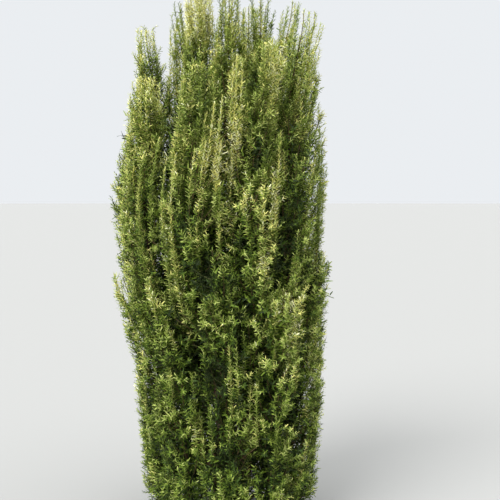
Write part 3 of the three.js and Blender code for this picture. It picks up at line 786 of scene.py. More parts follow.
class Wires:
    """Lines of points with values on them, kept until they become one mesh of edges."""

    def __init__(self):
        self.points = []
        self.edges = []
        self.values = {}
        self.count = 0

    def add(self, lines, **values):
        lines = np.asarray(lines)
        rows, length = lines.shape[:2]
        index = self.count + np.arange(rows * length).reshape(rows, length)
        self.edges.append(np.stack([index[:, :-1], index[:, 1:]], axis=-1).reshape(-1, 2))
        self.points.append(lines.reshape(-1, 3))
        for name, value in values.items():
            spread = np.broadcast_to(value, (rows, length)).reshape(-1)
            self.values.setdefault(name, []).append(spread)
        self.count += rows * length

    def host(self, name):
        """An object whose mesh is these lines, for a geometry tree to work on."""
        mesh = bpy.data.meshes.new(name)
        points = np.concatenate(self.points)
        edges = np.concatenate(self.edges)
        mesh.vertices.add(len(points))
        mesh.vertices.foreach_set("co", points.reshape(-1).astype(np.float32))
        mesh.edges.add(len(edges))
        mesh.edges.foreach_set("vertices", edges.reshape(-1).astype(np.int32))
        for value_name, parts in self.values.items():
            attribute = mesh.attributes.new(value_name, "FLOAT", "POINT")
            attribute.data.foreach_set("value", np.concatenate(parts).astype(np.float32))
        mesh.update()
        host = bpy.data.objects.new(name, mesh)
        bpy.context.scene.collection.objects.link(host)
        return host


class Foliage:
    """Twigs and shoots of one plume, grown from its stem."""

    def __init__(self, plume, settings):
        self.plume = plume
        self.settings = settings
        self.rng = np.random.default_rng(settings.seed * USER_SEEDS + plume.seed)
        self.swells = all_swells(settings.seed)
        self.waves, self.phases = clump_waves(settings.seed)
        self.wood = Wires()
        self.leafy = Wires()
        self.grow_stem()
        self.grow_twigs()
        self.grow_tufts()
        self.grow_leaders()
        self.grow_streaks()
        self.grow_crest()
        self.grow_hem()
        self.grow_top()
        self.grow_inner()

    def swell(self, points):
        """Strength of the crown's swells and bays at points, with the clumps: how much lighter or darker
        the tints get, partly the plumes' own colour and partly painted light and painted shade. A bay also
        lies back.
        """
        height = points[..., 2]
        turns = np.degrees(np.arctan2(points[..., 1], points[..., 0] - self.plume.sway(height)))
        # The clump waves lighten and darken the tints in patches: painted light and painted shade.
        strength = PAINTED_CLUMP_LIGHT_AND_SHADE * np.sin(points @ self.waves.T + self.phases).sum(axis=-1)
        for turn, middle, half_turn, half_height, value in self.swells:
            aside = (turns - turn + 180) % 360 - 180
            nearness = -((aside / half_turn) ** 2) - ((height - middle) / half_height) ** 2
            strength += value * np.exp(nearness)
        return strength

    def tints(self, kind, count):
        """Tints of as many shoots of one kind."""
        look = SHOOTS[kind]
        return self.plume.tint + look["tint"] + shifts(self.rng, look["varies"], count)

    def add_shoots(self, kind, lines, tint, size=1.0):
        """Shoots of one kind, whose needles get lighter, shorter and steeper towards the tip."""
        look = SHOOTS[kind]
        plume, height = self.plume, lines[..., 2]
        share = even_shares(lines.shape[1])
        # Painted light and shade: the crown's top, each crest and the swells get lighter tints, the flanks
        # and bays darker ones; the swells also hold the plumes' own colour.
        lit = PAINTED_TOP_LIGHT * smooth((height - PAINTED_TOP_LIGHT_FROM) / PAINTED_TOP_LIGHT_RISE)
        swell = self.swell(lines)
        lit = lit + SWELL_TINT_AND_PAINTED_LIGHT * swell - PAINTED_FLANK_SHADE * plume.flank(lines)
        lit = lit + PAINTED_CREST_LIGHT * smooth((height - plume.crest + CREST_DEPTH) / CREST_DEPTH)
        tints = np.asarray(tint).reshape(-1, 1) + look["tip_gain"] * (share - MIDDLE) + lit
        tints = np.minimum(tints, TINT_CAP + CAP_GAIN * np.maximum(0.0, swell))
        sizes = look["size"] * np.asarray(size).reshape(-1, 1) * (1.0 - TIP_SHORTENING * share**2)
        splays = look["splay"] * lerp(SPLAY_SHARES[0], SPLAY_SHARES[1], share**2)
        self.leafy.add(lines, tint=tints, size=sizes, splay=splays, crowd=look["crowd"])
        self.wood.add(lines, radius=lerp(SHOOT_RADII[0], SHOOT_RADII[1], share), age=0.0)

    def add_twigs(self, lines):
        share = even_shares(lines.shape[1])
        self.wood.add(lines, radius=lerp(TWIG_RADII[0], TWIG_RADII[1], share), age=1.0)

    def grow_stem(self):
        plume = self.plume
        share = even_shares(STEM_STEPS + 1)
        line = plume.axis(lerp(plume.foot, plume.tip, share[0]))
        line[0] += plume.heading * SEAT_GAP
        line[-1, 2] -= STEM_TIP_GAP
        thick = STEM_SHARE * plume.rule["bough_radius"][1]
        self.wood.add(line[None], radius=lerp(thick, STEM_TIP_RADIUS, share**STEM_TAPER), age=2.0)

    def grow_twigs(self):
        """Where the twigs of the body root and end: the source's rule, with more of them."""
        plume, rng, rule = self.plume, self.rng, self.plume.rule
        count = round(rule["twig_gain"] * (plume.tip - plume.foot) / self.settings.twig_step)
        k = np.arange(count)
        lowest = plume.foot + rule["stem"] + FIRST_BAND + ROOT_SINK
        climb = (k / count) ** rule["crowding"]
        highest = plume.crest - (1 - SPRAY_OVERTOP) * rule["spire"]
        ends = lerp(lowest + rule["lowest_rise"], highest, climb)
        swing = swings(k)
        swing = np.sign(swing) * np.abs(swing) ** lerp(TWIG_OUTWARD, 1.0, plume.freed(ends))
        facing = lerp(rule["facing"], math.pi, plume.freed(ends))
        turns = plume.turn + swing * facing + shifts(rng, SPRAY_WANDER, count)
        rise = np.minimum(rule["spray_rise"] * between(rng, SPRAY_RISES, count), ends - lowest)
        reach = TWIG_SHARE * plume.reach(ends) * between(rng, SPRAY_REACHES, count)
        face = plume.axis(ends) + directions(turns) * reach[:, None]
        reach *= 1 + BAY_DEPTH * np.minimum(0, self.swell(face))
        kept = (ends > rule["dense_from"]) | (k % SPARSE_SHARE == 0)
        turns, ends, rise, reach = turns[kept], ends[kept], rise[kept], reach[kept]
        out = directions(turns)
        root = plume.axis(ends - rise)
        tip = plume.kept_in(plume.axis(ends) + out * reach[:, None])
        bend = root + out * (TWIG_SWELL * reach)[:, None]
        bend[:, 2] += TWIG_BEND_RISE * rise
        self.twigs = bent_lines(root, bend, tip, TWIG_STEPS)
        self.twig_turns = turns
        self.add_twigs(self.twigs)
        look = SHOOTS["twig"]
        outer = self.twigs[:, TWIG_NEEDLES_FROM:]
        tint = self.tints("twig", len(turns))[:, None]
        self.leafy.add(outer, tint=tint, size=look["size"], splay=look["splay"], crowd=look["crowd"])

    def on_twigs(self, share):
        """Points at a share of the way along every twig."""
        place = share * TWIG_STEPS
        low = min(int(place), TWIG_STEPS - 1)
        return lerp(self.twigs[:, low], self.twigs[:, low + 1], place - low)

    def grow_tufts(self):
        rng = self.rng
        count = len(self.twigs)
        up = np.array([0.0, 0.0, 1.0])
        freed = self.plume.freed(self.twigs[:, -1, 2])
        lean = lerp(TUFT_LEAN, TUFT_TOP_LEAN, freed)[:, None]
        narrowing = lerp(1.0, TUFT_TOP_OPENING, freed)
        look = SHOOTS["tuft"]
        for seat, shoots in zip(TUFT_SEATS, TUFT_SHOOTS):
            out = directions(self.twig_turns + shifts(rng, TUFT_WANDER, count))
            middle = np.cos(lean) * up + np.sin(lean) * out
            aside = np.cross(up, out)
            across = np.cross(middle, aside)
            # Painted shade: tufts farther in get darker tints.
            seat_gain = TUFT_SEAT_GAIN * (seat - TUFT_TINT_SEAT)
            tints = self.plume.tint + look["tint"] + seat_gain + shifts(rng, look["varies"], count)
            sizes = between(rng, TUFT_SIZES, count)
            spin = rng.random(count) * 2 * math.pi
            for j in range(shoots):
                root = self.on_twigs(seat - TUFT_SEAT_STEP * j)
                turn = spin + 2 * math.pi * (j + TUFT_SPIN * rng.random(count)) / shoots
                opening = narrowing * between(rng, TUFT_OPENINGS, count)
                round_it = aside * np.cos(turn)[:, None] + across * np.sin(turn)[:, None]
                heading = middle * np.cos(opening)[:, None] + round_it * np.sin(opening)[:, None]
                self.add_tuft_shoots(root, heading, sizes, tints)

    def add_tuft_shoots(self, root, heading, sizes, tints):
        """One shoot in every tuft, bent a little upwards."""
        rng = self.rng
        count = len(root)
        length = self.settings.shoot_length * sizes * between(rng, SHOOT_LENGTHS, count)
        tip = self.plume.kept_in(root + heading * length[:, None])
        bend = lerp(root, tip, SHOOT_BEND) + heading * (SHOOT_SAG * length)[:, None]
        bend[:, 2] -= SHOOT_SAG * length
        tints = tints + shifts(rng, SHOOT_TINTS, count)
        lines = bent_lines(root, bend, tip, SHOOT_STEPS)
        self.add_shoots("tuft", lines, tints, between(rng, SHOOT_SIZES, count))

    def grow_leaders(self):
        plume, rng = self.plume, self.rng
        chosen = np.flatnonzero(rng.random(len(self.twigs)) < plume.strings)
        facing = np.cos(self.twig_turns[chosen] - plume.turn) > LEADER_FACING
        root, turns = self.on_twigs(LEADER_SEAT)[chosen][facing], self.twig_turns[chosen][facing]
        count = len(root)
        if count == 0:
            return
        out = directions(turns + shifts(rng, LEADER_WANDER, count))
        length = self.settings.leader_length * between(rng, LEADER_LENGTHS, count)
        height = np.minimum(root[:, 2] + length, plume.tip - LEADER_TIP_GAP)
        tip = plume.kept_in(plume.axis(height) + out * (LEADER_OUT * plume.reach(height))[:, None])
        low = lerp(root[:, 2], height, LEADER_LOW)
        bend = plume.kept_in(plume.axis(low) + out * (LEADER_BEND * plume.reach(low))[:, None])
        tints = self.tints("leader", count)
        lines = bent_lines(root, bend, tip, LEADER_STEPS)
        self.add_shoots("leader", lines, tints)
        self.add_laterals(lines, tints)

    def nearest_streaks(self):
        """The listed strings that stand nearer to this plume than to another of its set."""
        turns = np.radians([row[0] for row in self.plume.rule["plumes"]])
        for row in STREAKS.get(self.plume.set_name, ()):
            nearest = turns[np.argmax(np.cos(turns - math.radians(row[0])))]
            if abs(nearest - self.plume.turn) < TINY:
                yield row

    def grow_streaks(self):
        """Strings up the crown's face, each on a bare twig from the stem."""
        plume = self.plume
        for degrees, foot, top, tint in self.nearest_streaks():
            heights = np.linspace(foot, top, STREAK_POINTS)
            out = directions(np.full(STREAK_POINTS, math.radians(degrees)))
            face = out * (plume.crown_radius(heights) - STREAK_INSET)[:, None]
            face[:, 0] += plume.sway(heights)
            face[:, 2] = heights
            root = plume.axis(np.array([max(foot - STREAK_ROOT, plume.foot + STREAK_LOWEST)]))
            self.wood.add([[root[0], face[0]]], radius=TWIG_RADII[1], age=1.0)
            self.add_shoots("streak", face[None], tint)
            self.add_laterals(face[None], np.array([tint]), STREAK_LATERALS)

    def grow_crest(self):
        """Upright strings that make the plume's crest, and thin sprigs above it."""
        plume, rng, rule = self.plume, self.rng, self.plume.rule
        low = plume.body_top - CREST_STEM * rule["spire"]
        heights = np.linspace(low, plume.tip - CREST_STEM_GAP, CREST_STEM_POINTS)
        self.add_shoots("stem", plume.axis(heights)[None], plume.tint + SHOOTS["stem"]["tint"])
        k = np.arange(round(rule["spire_strings"] * plume.top_width / SPIRE_WIDTH))
        turns = plume.turn + k * 2 * math.pi * GOLDEN_TURN
        share = (k + rng.random(len(k))) / len(k)
        ends = plume.crest - lerp(STRING_DROPS[0], STRING_DROPS[1], share)
        self.add_strings("crest", turns, ends, plume.reach(ends))
        if not plume.blunt:
            turns = plume.turn + (0.5 + np.arange(SPRIGS)) * 2 * math.pi / SPRIGS + rng.random(SPRIGS)
            ends = plume.tip - (plume.tip - plume.crest) * between(rng, SPRIG_DROPS, SPRIGS)
            self.add_strings("sprig", turns, ends, np.full(SPRIGS, SPRIG_OUT))

    def add_strings(self, kind, turns, ends, reach):
        """Upright strings of needles round the stem, each at some share of the reach given."""
        plume, rng = self.plume, self.rng
        count = len(turns)
        out = directions(turns + shifts(rng, STRING_WANDER, count))
        starts = ends - between(rng, STRING_LENGTHS, count)
        away = STRING_OUT * reach * np.sqrt(between(rng, STRING_SEATS, count))
        low = lerp(starts, ends, STRING_LOW)
        root = plume.axis(starts) + out * (STRING_ROOT * away)[:, None]
        bend = plume.kept_inside(plume.axis(low) + out * (STRING_BEND * away)[:, None])
        tip = plume.kept_inside(plume.axis(ends) + out * away[:, None])
        tints = self.tints(kind, count)
        lines = bent_lines(root, bend, tip, STRING_STEPS)
        self.add_shoots(kind, lines, tints)
        self.add_laterals(lines, tints)

    def add_laterals(self, lines, tints, scale=1.0):
        """Short side shoots all round some strings."""
        rng = self.rng
        count, steps = lines.shape[0], lines.shape[1] - 1
        for j in range(LATERALS):
            place = steps * (j + rng.random()) / LATERALS
            low = min(int(place), steps - 1)
            root = lerp(lines[:, low], lines[:, low + 1], place - low)
            out = directions(2 * math.pi * (j * GOLDEN_TURN + rng.random(count)))
            shortening = 1 - LATERAL_SHORTENING * j / LATERALS
            length = scale * between(rng, LATERAL_LENGTHS, count) * shortening
            sides = np.stack([root, rising_tips(root, out, length, RISING)], axis=1)
            self.add_shoots("lateral", sides, tints + SHOOTS["lateral"]["tint"])

    def grow_hem(self):
        """Low twigs that spread from a plume's foot down to the ground."""
        plume, rng = self.plume, self.rng
        if not plume.rule["hem"]:
            return
        turns = plume.turn + HEM_FACING * swings(np.arange(HEM_TWIGS))
        out = directions(turns)
        root = plume.axis(plume.foot + between(rng, HEM_ROOTS, HEM_TWIGS))
        run = plume.reach(root[:, 2]) * between(rng, HEM_REACHES, HEM_TWIGS)
        tip = root + out * run[:, None]
        tip[:, 2] = between(rng, HEM_HEIGHTS, HEM_TWIGS)
        bend = lerp(root, tip, 0.5)
        bend[:, 2] += HEM_BEND
        lines = bent_lines(root, bend, tip, HEM_STEPS)
        self.add_twigs(lines)
        tints = self.tints("hem", HEM_TWIGS)
        self.add_shoots("hem", lines, tints)
        for j in range(HEM_SHOOTS):
            start = lerp(lines[:, 1], lines[:, HEM_STEPS], (j + 1) / HEM_SHOOTS)
            self.add_hem_sides(start, turns, tints + SHOOTS["hem side"]["tint"])

    def add_hem_sides(self, start, turns, tints):
        """One side shoot on every twig of the hem, kept clear of the ground."""
        rng = self.rng
        count = len(start)
        aside = directions(turns + between(rng, HEM_TURNS, count))
        length = between(rng, HEM_LENGTHS, count)
        end = start + aside * (HEM_RUN * length)[:, None]
        end[:, 2] = np.maximum(start[:, 2] + between(rng, HEM_RISES, count) * length, HEM_HEIGHTS[0])
        self.add_shoots("hem side", np.stack([start, end], axis=1), tints)

    def grow_top(self):
        """Short green shoots round the stem, where the plume stands clear of its neighbours."""
        plume, rng = self.plume, self.rng
        if not plume.rule["free_top"]:
            return
        filling = BLUNT_FILLING if plume.blunt else 1.0
        count = round(filling * TOP_DEPTH / TOP_STEP)
        k = np.arange(count)
        drops = TOP_DEPTH * ((k + rng.random(count)) / count) ** TOP_CROWDING
        heights = plume.crest - TOP_DROP - drops
        out = directions(2 * math.pi * k * GOLDEN_TURN + rng.random(count))
        away = TOP_ROOT * plume.reach(heights) * rng.random(count)
        root = plume.axis(heights) + out * away[:, None]
        length = between(rng, TOP_LENGTHS, count)
        tip = plume.kept_in(rising_tips(root, out, length, TOP_RISING))
        bend = lerp(root, tip, 0.5) + out * (TOP_BEND * length)[:, None]
        self.add_shoots("top", bent_lines(root, bend, tip, SHOOT_STEPS), self.tints("top", count))

    def grow_inner(self):
        """Short dark shoots all round the stem, which close the view through the crown: painted shade, dark
        needles put where the crown's inside lies in shade.
        """
        plume, rng, rule = self.plume, self.rng, self.plume.rule
        top = plume.crest - rule["inner_clear"]
        count = round((top - plume.foot) / (INNER_STEP * rule["inner_step"]))
        k = np.arange(count)
        climb = ((k + rng.random(count)) / count) ** INNER_CROWDING
        root = plume.axis(lerp(plume.foot + INNER_FOOT_GAP, top, climb))
        turns = 2 * math.pi * k * GOLDEN_TURN + rng.random(count)
        lean = between(rng, INNER_LEANS, count)
        length = between(rng, INNER_LENGTHS, count)
        towards = np.cos(turns - plume.turn) * (-1 if rule["ring"] is None else 1)
        gain = rule["inner_gain"] * np.maximum(0.0, towards)
        length *= 1 + gain - OUTWARD_LOSS * np.maximum(0.0, -towards)
        length *= 1 + SIDE_GAIN * np.abs(np.sin(turns - plume.turn))
        tip = root + directions(turns) * (length * np.sin(lean))[:, None]
        tip[:, 2] += length * np.cos(lean)
        look = SHOOTS["inner"]
        tints = look["tint"] + look["varies"] * rng.random(count)
        self.add_shoots("inner", np.stack([root, plume.kept_inside(tip)], axis=1), tints)


# Node trees

class Tree:
    """Builds a node tree a node at a time."""

    def __init__(self, name, kind, outputs):
        self.group = bpy.data.node_groups.new(name, kind)
        for output_name, output_kind in outputs.items():
            self.group.interface.new_socket(output_name, in_out="OUTPUT", socket_type=output_kind)
        self.source = self.group.nodes.new("NodeGroupInput")
        self.result = self.group.nodes.new("NodeGroupOutput")

    def input(self, name, kind, default=None):
        socket = self.group.interface.new_socket(name, in_out="INPUT", socket_type=kind)
        if default is not None:
            socket.default_value = default
        return self.source.outputs[name]

    def add(self, kind, inputs=None, **settings):
        """A node with its settings, and with each named input either linked or set."""
        node = self.group.nodes.new(kind)
        for name, value in settings.items():
            setattr(node, name, value)
        for name, value in (inputs or {}).items():
            socket = self.open_socket(node, name)
            if isinstance(value, bpy.types.NodeSocket):
                self.group.links.new(value, socket)
            else:
                socket.default_value = value
        return node

    @staticmethod
    def open_socket(node, name):
        if isinstance(name, int):
            return node.inputs[name]
        return next(socket for socket in node.inputs if socket.name == name and socket.enabled)

    def math(self, operation, first, second=0.0):
        return self.add("ShaderNodeMath", {0: first, 1: second}, operation=operation).outputs[0]

    def value_of(self, name):
        node = self.add("GeometryNodeInputNamedAttribute", {"Name": name}, data_type="FLOAT")
        return node.outputs["Attribute"]

    def jitter(self, spread, seed, salt):
        """A random number from minus to plus spread, another for each salt."""
        limits = {"Min": self.math("MULTIPLY", spread, -1.0), "Max": spread}
        salted = self.math("ADD", seed, float(salt))
        node = self.add("FunctionNodeRandomValue", {**limits, "Seed": salted}, data_type="FLOAT")
        return next(socket for socket in node.outputs if socket.type == "VALUE" and socket.enabled)

    def turned(self, rotation, axis, angle):
        """A rotation turned on about one of its own axes."""
        by = self.add("FunctionNodeAxisAngleToRotation", {"Axis": axis, "Angle": angle}).outputs[0]
        inputs = {"Rotation": rotation, "Rotate By": by}
        return self.add("FunctionNodeRotateRotation", inputs, rotation_space="LOCAL").outputs[0]

    def finished_in(self, geometry, value_name, materials):
        """Gives faces the first material where the named value is 0, the second where it is 1, and
        so on. Each material is an input of the tree."""
        for k, name in enumerate(materials):
            material = self.input(name, "NodeSocketMaterial")
            step = {"A": self.value_of(value_name), "B": float(k), "Epsilon": 0.5}
            chosen = self.add("FunctionNodeCompare", step, data_type="FLOAT", operation="EQUAL").outputs[0]
            inputs = {"Geometry": geometry, "Selection": chosen, "Material": material}
            geometry = self.add("GeometryNodeSetMaterial", inputs).outputs[0]
        self.group.links.new(geometry, self.result.inputs[0])
        return self.group


def growth_tree(name):
    """A tree that turns the lines of one mesh into a finished mesh, and the curves along them."""
    tree = Tree(name, "GeometryNodeTree", {"Geometry": "NodeSocketGeometry"})
    lines = tree.input("Geometry", "NodeSocketGeometry")
    return tree, tree.add("GeometryNodeMeshToCurve", {"Mesh": lines}).outputs[0]


def needle_tree(foliage):
    """Needles in a spiral along every line, each in the material of its tint."""
    tree, curves = growth_tree("Needle Spiral")
    spacing = tree.input("Spacing", "NodeSocketFloat", foliage.needle_spacing)
    length = tree.input("Length", "NodeSocketFloat", foliage.needle_length)
    turn = tree.input("Turn", "NodeSocketFloat", NEEDLE_TURN)
    turn_jitter = tree.input("Turn Jitter", "NodeSocketFloat", NEEDLE_TURN_JITTER)
    splay_jitter = tree.input("Splay Jitter", "NodeSocketFloat", NEEDLE_SPLAY_JITTER)
    length_jitter = tree.input("Length Jitter", "NodeSocketFloat", NEEDLE_LENGTH_JITTER)
    tint_jitter = tree.input("Tint Jitter", "NodeSocketFloat", NEEDLE_TINT_JITTER)
    seed = tree.input("Seed", "NodeSocketInt", 1)
    needle = tree.input("Needle", "NodeSocketObject")
    crowded = tree.math("DIVIDE", spacing, tree.value_of("crowd"))
    points = tree.add("GeometryNodeCurveToPoints", {"Curve": curves, "Length": crowded}, mode="LENGTH")
    tint = tree.math("ADD", tree.value_of("tint"), tree.jitter(tint_jitter, seed, 3))
    step = tree.math("MAXIMUM", tree.math("ROUND", tint), 0.0)
    step = tree.math("MINIMUM", step, float(len(TINTS) - 1))
    stored = tree.add(
        "GeometryNodeStoreNamedAttribute",
        {"Geometry": points.outputs["Points"], "Name": "tint_step", "Value": step},
        data_type="FLOAT", domain="POINT",
    )
    index = tree.add("GeometryNodeInputIndex").outputs[0]
    spin = tree.math("ADD", tree.math("MULTIPLY", index, turn), tree.jitter(turn_jitter, seed, 0))
    splay = tree.math("ADD", tree.value_of("splay"), tree.jitter(splay_jitter, seed, 1))
    rotation = tree.turned(points.outputs["Rotation"], (0, 0, 1), spin)
    rotation = tree.turned(rotation, (0, 1, 0), splay)
    varied = tree.math("ADD", 1.0, tree.jitter(length_jitter, seed, 2))
    scale = tree.math("MULTIPLY", tree.math("MULTIPLY", tree.value_of("size"), varied), length)
    shape = tree.add("GeometryNodeObjectInfo", {"Object": needle}).outputs["Geometry"]
    placed = tree.add(
        "GeometryNodeInstanceOnPoints",
        {"Points": stored.outputs[0], "Instance": shape, "Rotation": rotation, "Scale": scale},
    )
    geometry = tree.add("GeometryNodeRealizeInstances", {"Geometry": placed.outputs[0]}).outputs[0]
    return tree.finished_in(geometry, "tint_step", [f"{tint.title()} Needle" for tint in TINTS])


def twig_tree(foliage):
    """Tapering skins round every line: stems and twigs with more sides than shoots."""
    tree, curves = growth_tree("Twig Skin")
    twig_sides = tree.input("Twig Sides", "NodeSocketInt", foliage.twig_sides)
    shoot_sides = tree.input("Shoot Sides", "NodeSocketInt", foliage.shoot_sides)
    woody = tree.math("GREATER_THAN", tree.value_of("age"), 0.5)
    inputs = {"Geometry": curves, "Selection": woody}
    parted = tree.add("GeometryNodeSeparateGeometry", inputs, domain="CURVE")
    skins = tree.add("GeometryNodeJoinGeometry")
    for part, sides in zip(parted.outputs, (twig_sides, shoot_sides)):
        ring = tree.add("GeometryNodeCurvePrimitiveCircle", {"Resolution": sides, "Radius": 1.0}).outputs[0]
        inputs = {"Curve": part, "Profile Curve": ring, "Scale": tree.value_of("radius"), "Fill Caps": True}
        skin = tree.add("GeometryNodeCurveToMesh", inputs)
        tree.group.links.new(skin.outputs[0], skins.inputs[0])
    geometry = tree.add("GeometryNodeRealizeInstances", {"Geometry": skins.outputs[0]}).outputs[0]
    return tree.finished_in(geometry, "age", ("Shoot Skin", "Young Bark", "Old Bark"))


def grown_mesh(wires, group, values, name):
    """The plain mesh that a tree makes of some lines."""
    host = wires.host(f"{name}_lines")
    modifier = host.modifiers.new("Growth", "NODES")
    modifier.node_group = group
    for item in group.interface.items_tree:
        if item.in_out == "INPUT" and item.name in values:
            modifier[item.identifier] = values[item.name]
    depsgraph = bpy.context.evaluated_depsgraph_get()
    mesh = bpy.data.meshes.new_from_object(host.evaluated_get(depsgraph), depsgraph=depsgraph)
    mesh.name = name
    for attribute_name in ("tint_step", *wires.values):
        attribute = mesh.attributes.get(attribute_name)
        if attribute is not None:
            mesh.attributes.remove(attribute)
    lines = host.data
    host.modifiers.remove(modifier)
    bpy.data.objects.remove(host)
    bpy.data.meshes.remove(lines)
    return mesh


def needle_shape(width):
    """A needle of length 1 along +Z: a narrow strip that twists a little towards its tip."""
    foot, tip = NEEDLE_FOOT * width, NEEDLE_TIP * width
    aside, across = tip * math.sin(NEEDLE_TWIST), tip * math.cos(NEEDLE_TWIST)
    corners = [
        (0.0, -foot, 0.0),
        (0.0, foot, 0.0),
        (aside + NEEDLE_HOOK, across, 1.0),
        (-aside + NEEDLE_HOOK, -across, NEEDLE_SLANT),
    ]
    mesh = bpy.data.meshes.new("needle_shape")
    mesh.from_pydata(corners, [], [(0, 1, 2), (0, 2, 3)])
    shape = bpy.data.objects.new("needle_shape", mesh)
    bpy.context.scene.collection.objects.link(shape)
    return shape


# Materials

def plain_material(name, colour, roughness, specular):
    material = bpy.data.materials.get(name) or bpy.data.materials.new(name)
    material.use_nodes = True
    shader = material.node_tree.nodes["Principled BSDF"]
    shader.inputs["Base Color"].default_value = (*colour, 1.0)
    shader.inputs["Roughness"].default_value = roughness
    shader.inputs["Specular IOR Level"].default_value = specular
    return material


def needle_materials(colours):
    """One plain colour for each tint, dealt out by spray."""
    return {
        f"{tint.title()} Needle": plain_material(f"needle_{tint}", getattr(colours, tint), *NEEDLE_FINISH)
        for tint in TINTS
    }


def twig_materials(colours):
    return {
        socket: plain_material(name, getattr(colours, colour), roughness, specular)
        for socket, (name, colour, roughness, specular) in TWIG_FINISHES.items()
    }


def bark_group():
    """Stringy plates of bark: puts out a colour, a roughness and a height."""
    outputs = {"Colour": "NodeSocketColor", "Roughness": "NodeSocketFloat", "Height": "NodeSocketFloat"}
    tree = Tree("Bark Grain", "ShaderNodeTree", outputs)
    cracks, fresh, weathered = (
        tree.input(name, "NodeSocketColor") for name in ("Cracks", "Fresh", "Weathered")
    )
    scale, stretch = (tree.input(name, "NodeSocketFloat") for name in ("Scale", "Stretch"))
    place = tree.add("ShaderNodeTexCoord").outputs["Object"]
    flat = tree.add("ShaderNodeCombineXYZ", {"X": 1.0, "Y": 1.0, "Z": stretch}).outputs[0]
    squeezed = tree.add("ShaderNodeVectorMath", {0: place, 1: flat}, operation="MULTIPLY").outputs[0]
    fibres = tree.add("ShaderNodeTexNoise", {"Vector": squeezed, "Scale": scale, **BARK_FIBRES})
    grain = fibres.outputs["Fac"]
    inputs = {"Factor": BARK_WARP, "A": squeezed, "B": fibres.outputs["Color"]}
    warped = tree.add("ShaderNodeMix", inputs, data_type="VECTOR").outputs["Result"]
    inputs = {"Vector": warped, "Scale": tree.math("MULTIPLY", scale, BARK_PLATE_SCALE)}
    plates = tree.add("ShaderNodeTexVoronoi", inputs, feature="DISTANCE_TO_EDGE").outputs["Distance"]
    edge = tree.add("ShaderNodeMapRange", {"Value": plates, "From Max": BARK_CRACK}).outputs[0]
    height = tree.add("ShaderNodeMath", {0: edge, 1: BARK_PLATE_HEIGHT, 2: grain}, operation="MULTIPLY_ADD")
    inputs = {"Value": grain, "From Min": BARK_WEATHERED[0], "From Max": BARK_WEATHERED[1]}
    spread = tree.add("ShaderNodeMapRange", inputs).outputs[0]
    inputs = {"Factor": spread, "A": fresh, "B": weathered}
    plate_colour = tree.add("ShaderNodeMix", inputs, data_type="RGBA").outputs["Result"]
    inputs = {"Factor": edge, "A": cracks, "B": plate_colour}
    colour = tree.add("ShaderNodeMix", inputs, data_type="RGBA").outputs["Result"]
    inputs = {"Value": grain, "To Min": BARK_ROUGHNESS[0], "To Max": BARK_ROUGHNESS[1]}
    roughness = tree.add("ShaderNodeMapRange", inputs).outputs[0]
    for socket, name in ((colour, "Colour"), (roughness, "Roughness"), (height.outputs[0], "Height")):
        tree.group.links.new(socket, tree.result.inputs[name])
    return tree.group


def bark_material(part, colours):
    """The bark of the trunk or of the boughs."""
    material = bpy.data.materials.new(f"bark_{part}")
    material.use_nodes = True
    nodes, link = material.node_tree.nodes, material.node_tree.links.new
    shader = nodes["Principled BSDF"]
    shader.inputs["Specular IOR Level"].default_value = BARK_SPECULAR
    grain = nodes.new("ShaderNodeGroup")
    grain.node_tree = bpy.data.node_groups.get("Bark Grain") or bark_group()
    named = {"Cracks": colours.bark_dark, "Fresh": colours.bark_red, "Weathered": colours.bark_grey}
    for name, colour in named.items():
        grain.inputs[name].default_value = (*colour, 1.0)
    for name in ("Scale", "Stretch"):
        grain.inputs[name].default_value = BARKS[part][name]
    raised = nodes.new("ShaderNodeBump")
    raised.inputs["Distance"].default_value = BARKS[part]["bump"]
    raised.inputs["Strength"].default_value = BARK_BUMP
    link(grain.outputs["Colour"], shader.inputs["Base Color"])
    link(grain.outputs["Roughness"], shader.inputs["Roughness"])
    link(grain.outputs["Height"], raised.inputs["Height"])
    link(raised.outputs["Normal"], shader.inputs["Normal"])
    return material


# Trunk and boughs

def bark_noise(turn, height, fineness, shift_x, shift_y):
    """Noise at a place on a limb, as fine round it and along it as given."""
    x = math.cos(turn) * fineness[0] + shift_x
    y = math.sin(turn) * fineness[0] + shift_y
    return noise.noise(Vector((x, y, height * fineness[1])))


def bark_relief(turn, height, seed):
    """Height of the bark at one place, from 0 to 1: long stringy ridges broken into plates."""
    ridge = bark_noise(turn, height, BARK_RIDGES, 0.0, seed)
    fine = bark_noise(turn, height, BARK_FINE, 0.0, seed)
    plate = bark_noise(turn, height, BARK_PLATES, seed, 0.0)
    stepped = BARK_STEP_HEIGHT * math.floor(BARK_STEPS * (ridge + BARK_PLATE_SHARE * plate + 1.0))
    return BARK_SHARES[0] * stepped + BARK_SHARES[1] * abs(fine)


def tube_faces(sides, rings):
    """Quads of a tube, with a fan over each end, for points laid ring by ring and then two poles."""
    faces = []
    for ring in range(rings - 1):
        for k in range(sides):
            here, there = ring * sides, (ring + 1) * sides
            beside = (k + 1) % sides
            faces.append((here + k, here + beside, there + beside, there + k))
    foot, top, last = sides * rings, sides * rings + 1, sides * (rings - 1)
    for k in range(sides):
        beside = (k + 1) % sides
        faces.append((foot, beside, k))
        faces.append((top, last + k, last + beside))
    return faces


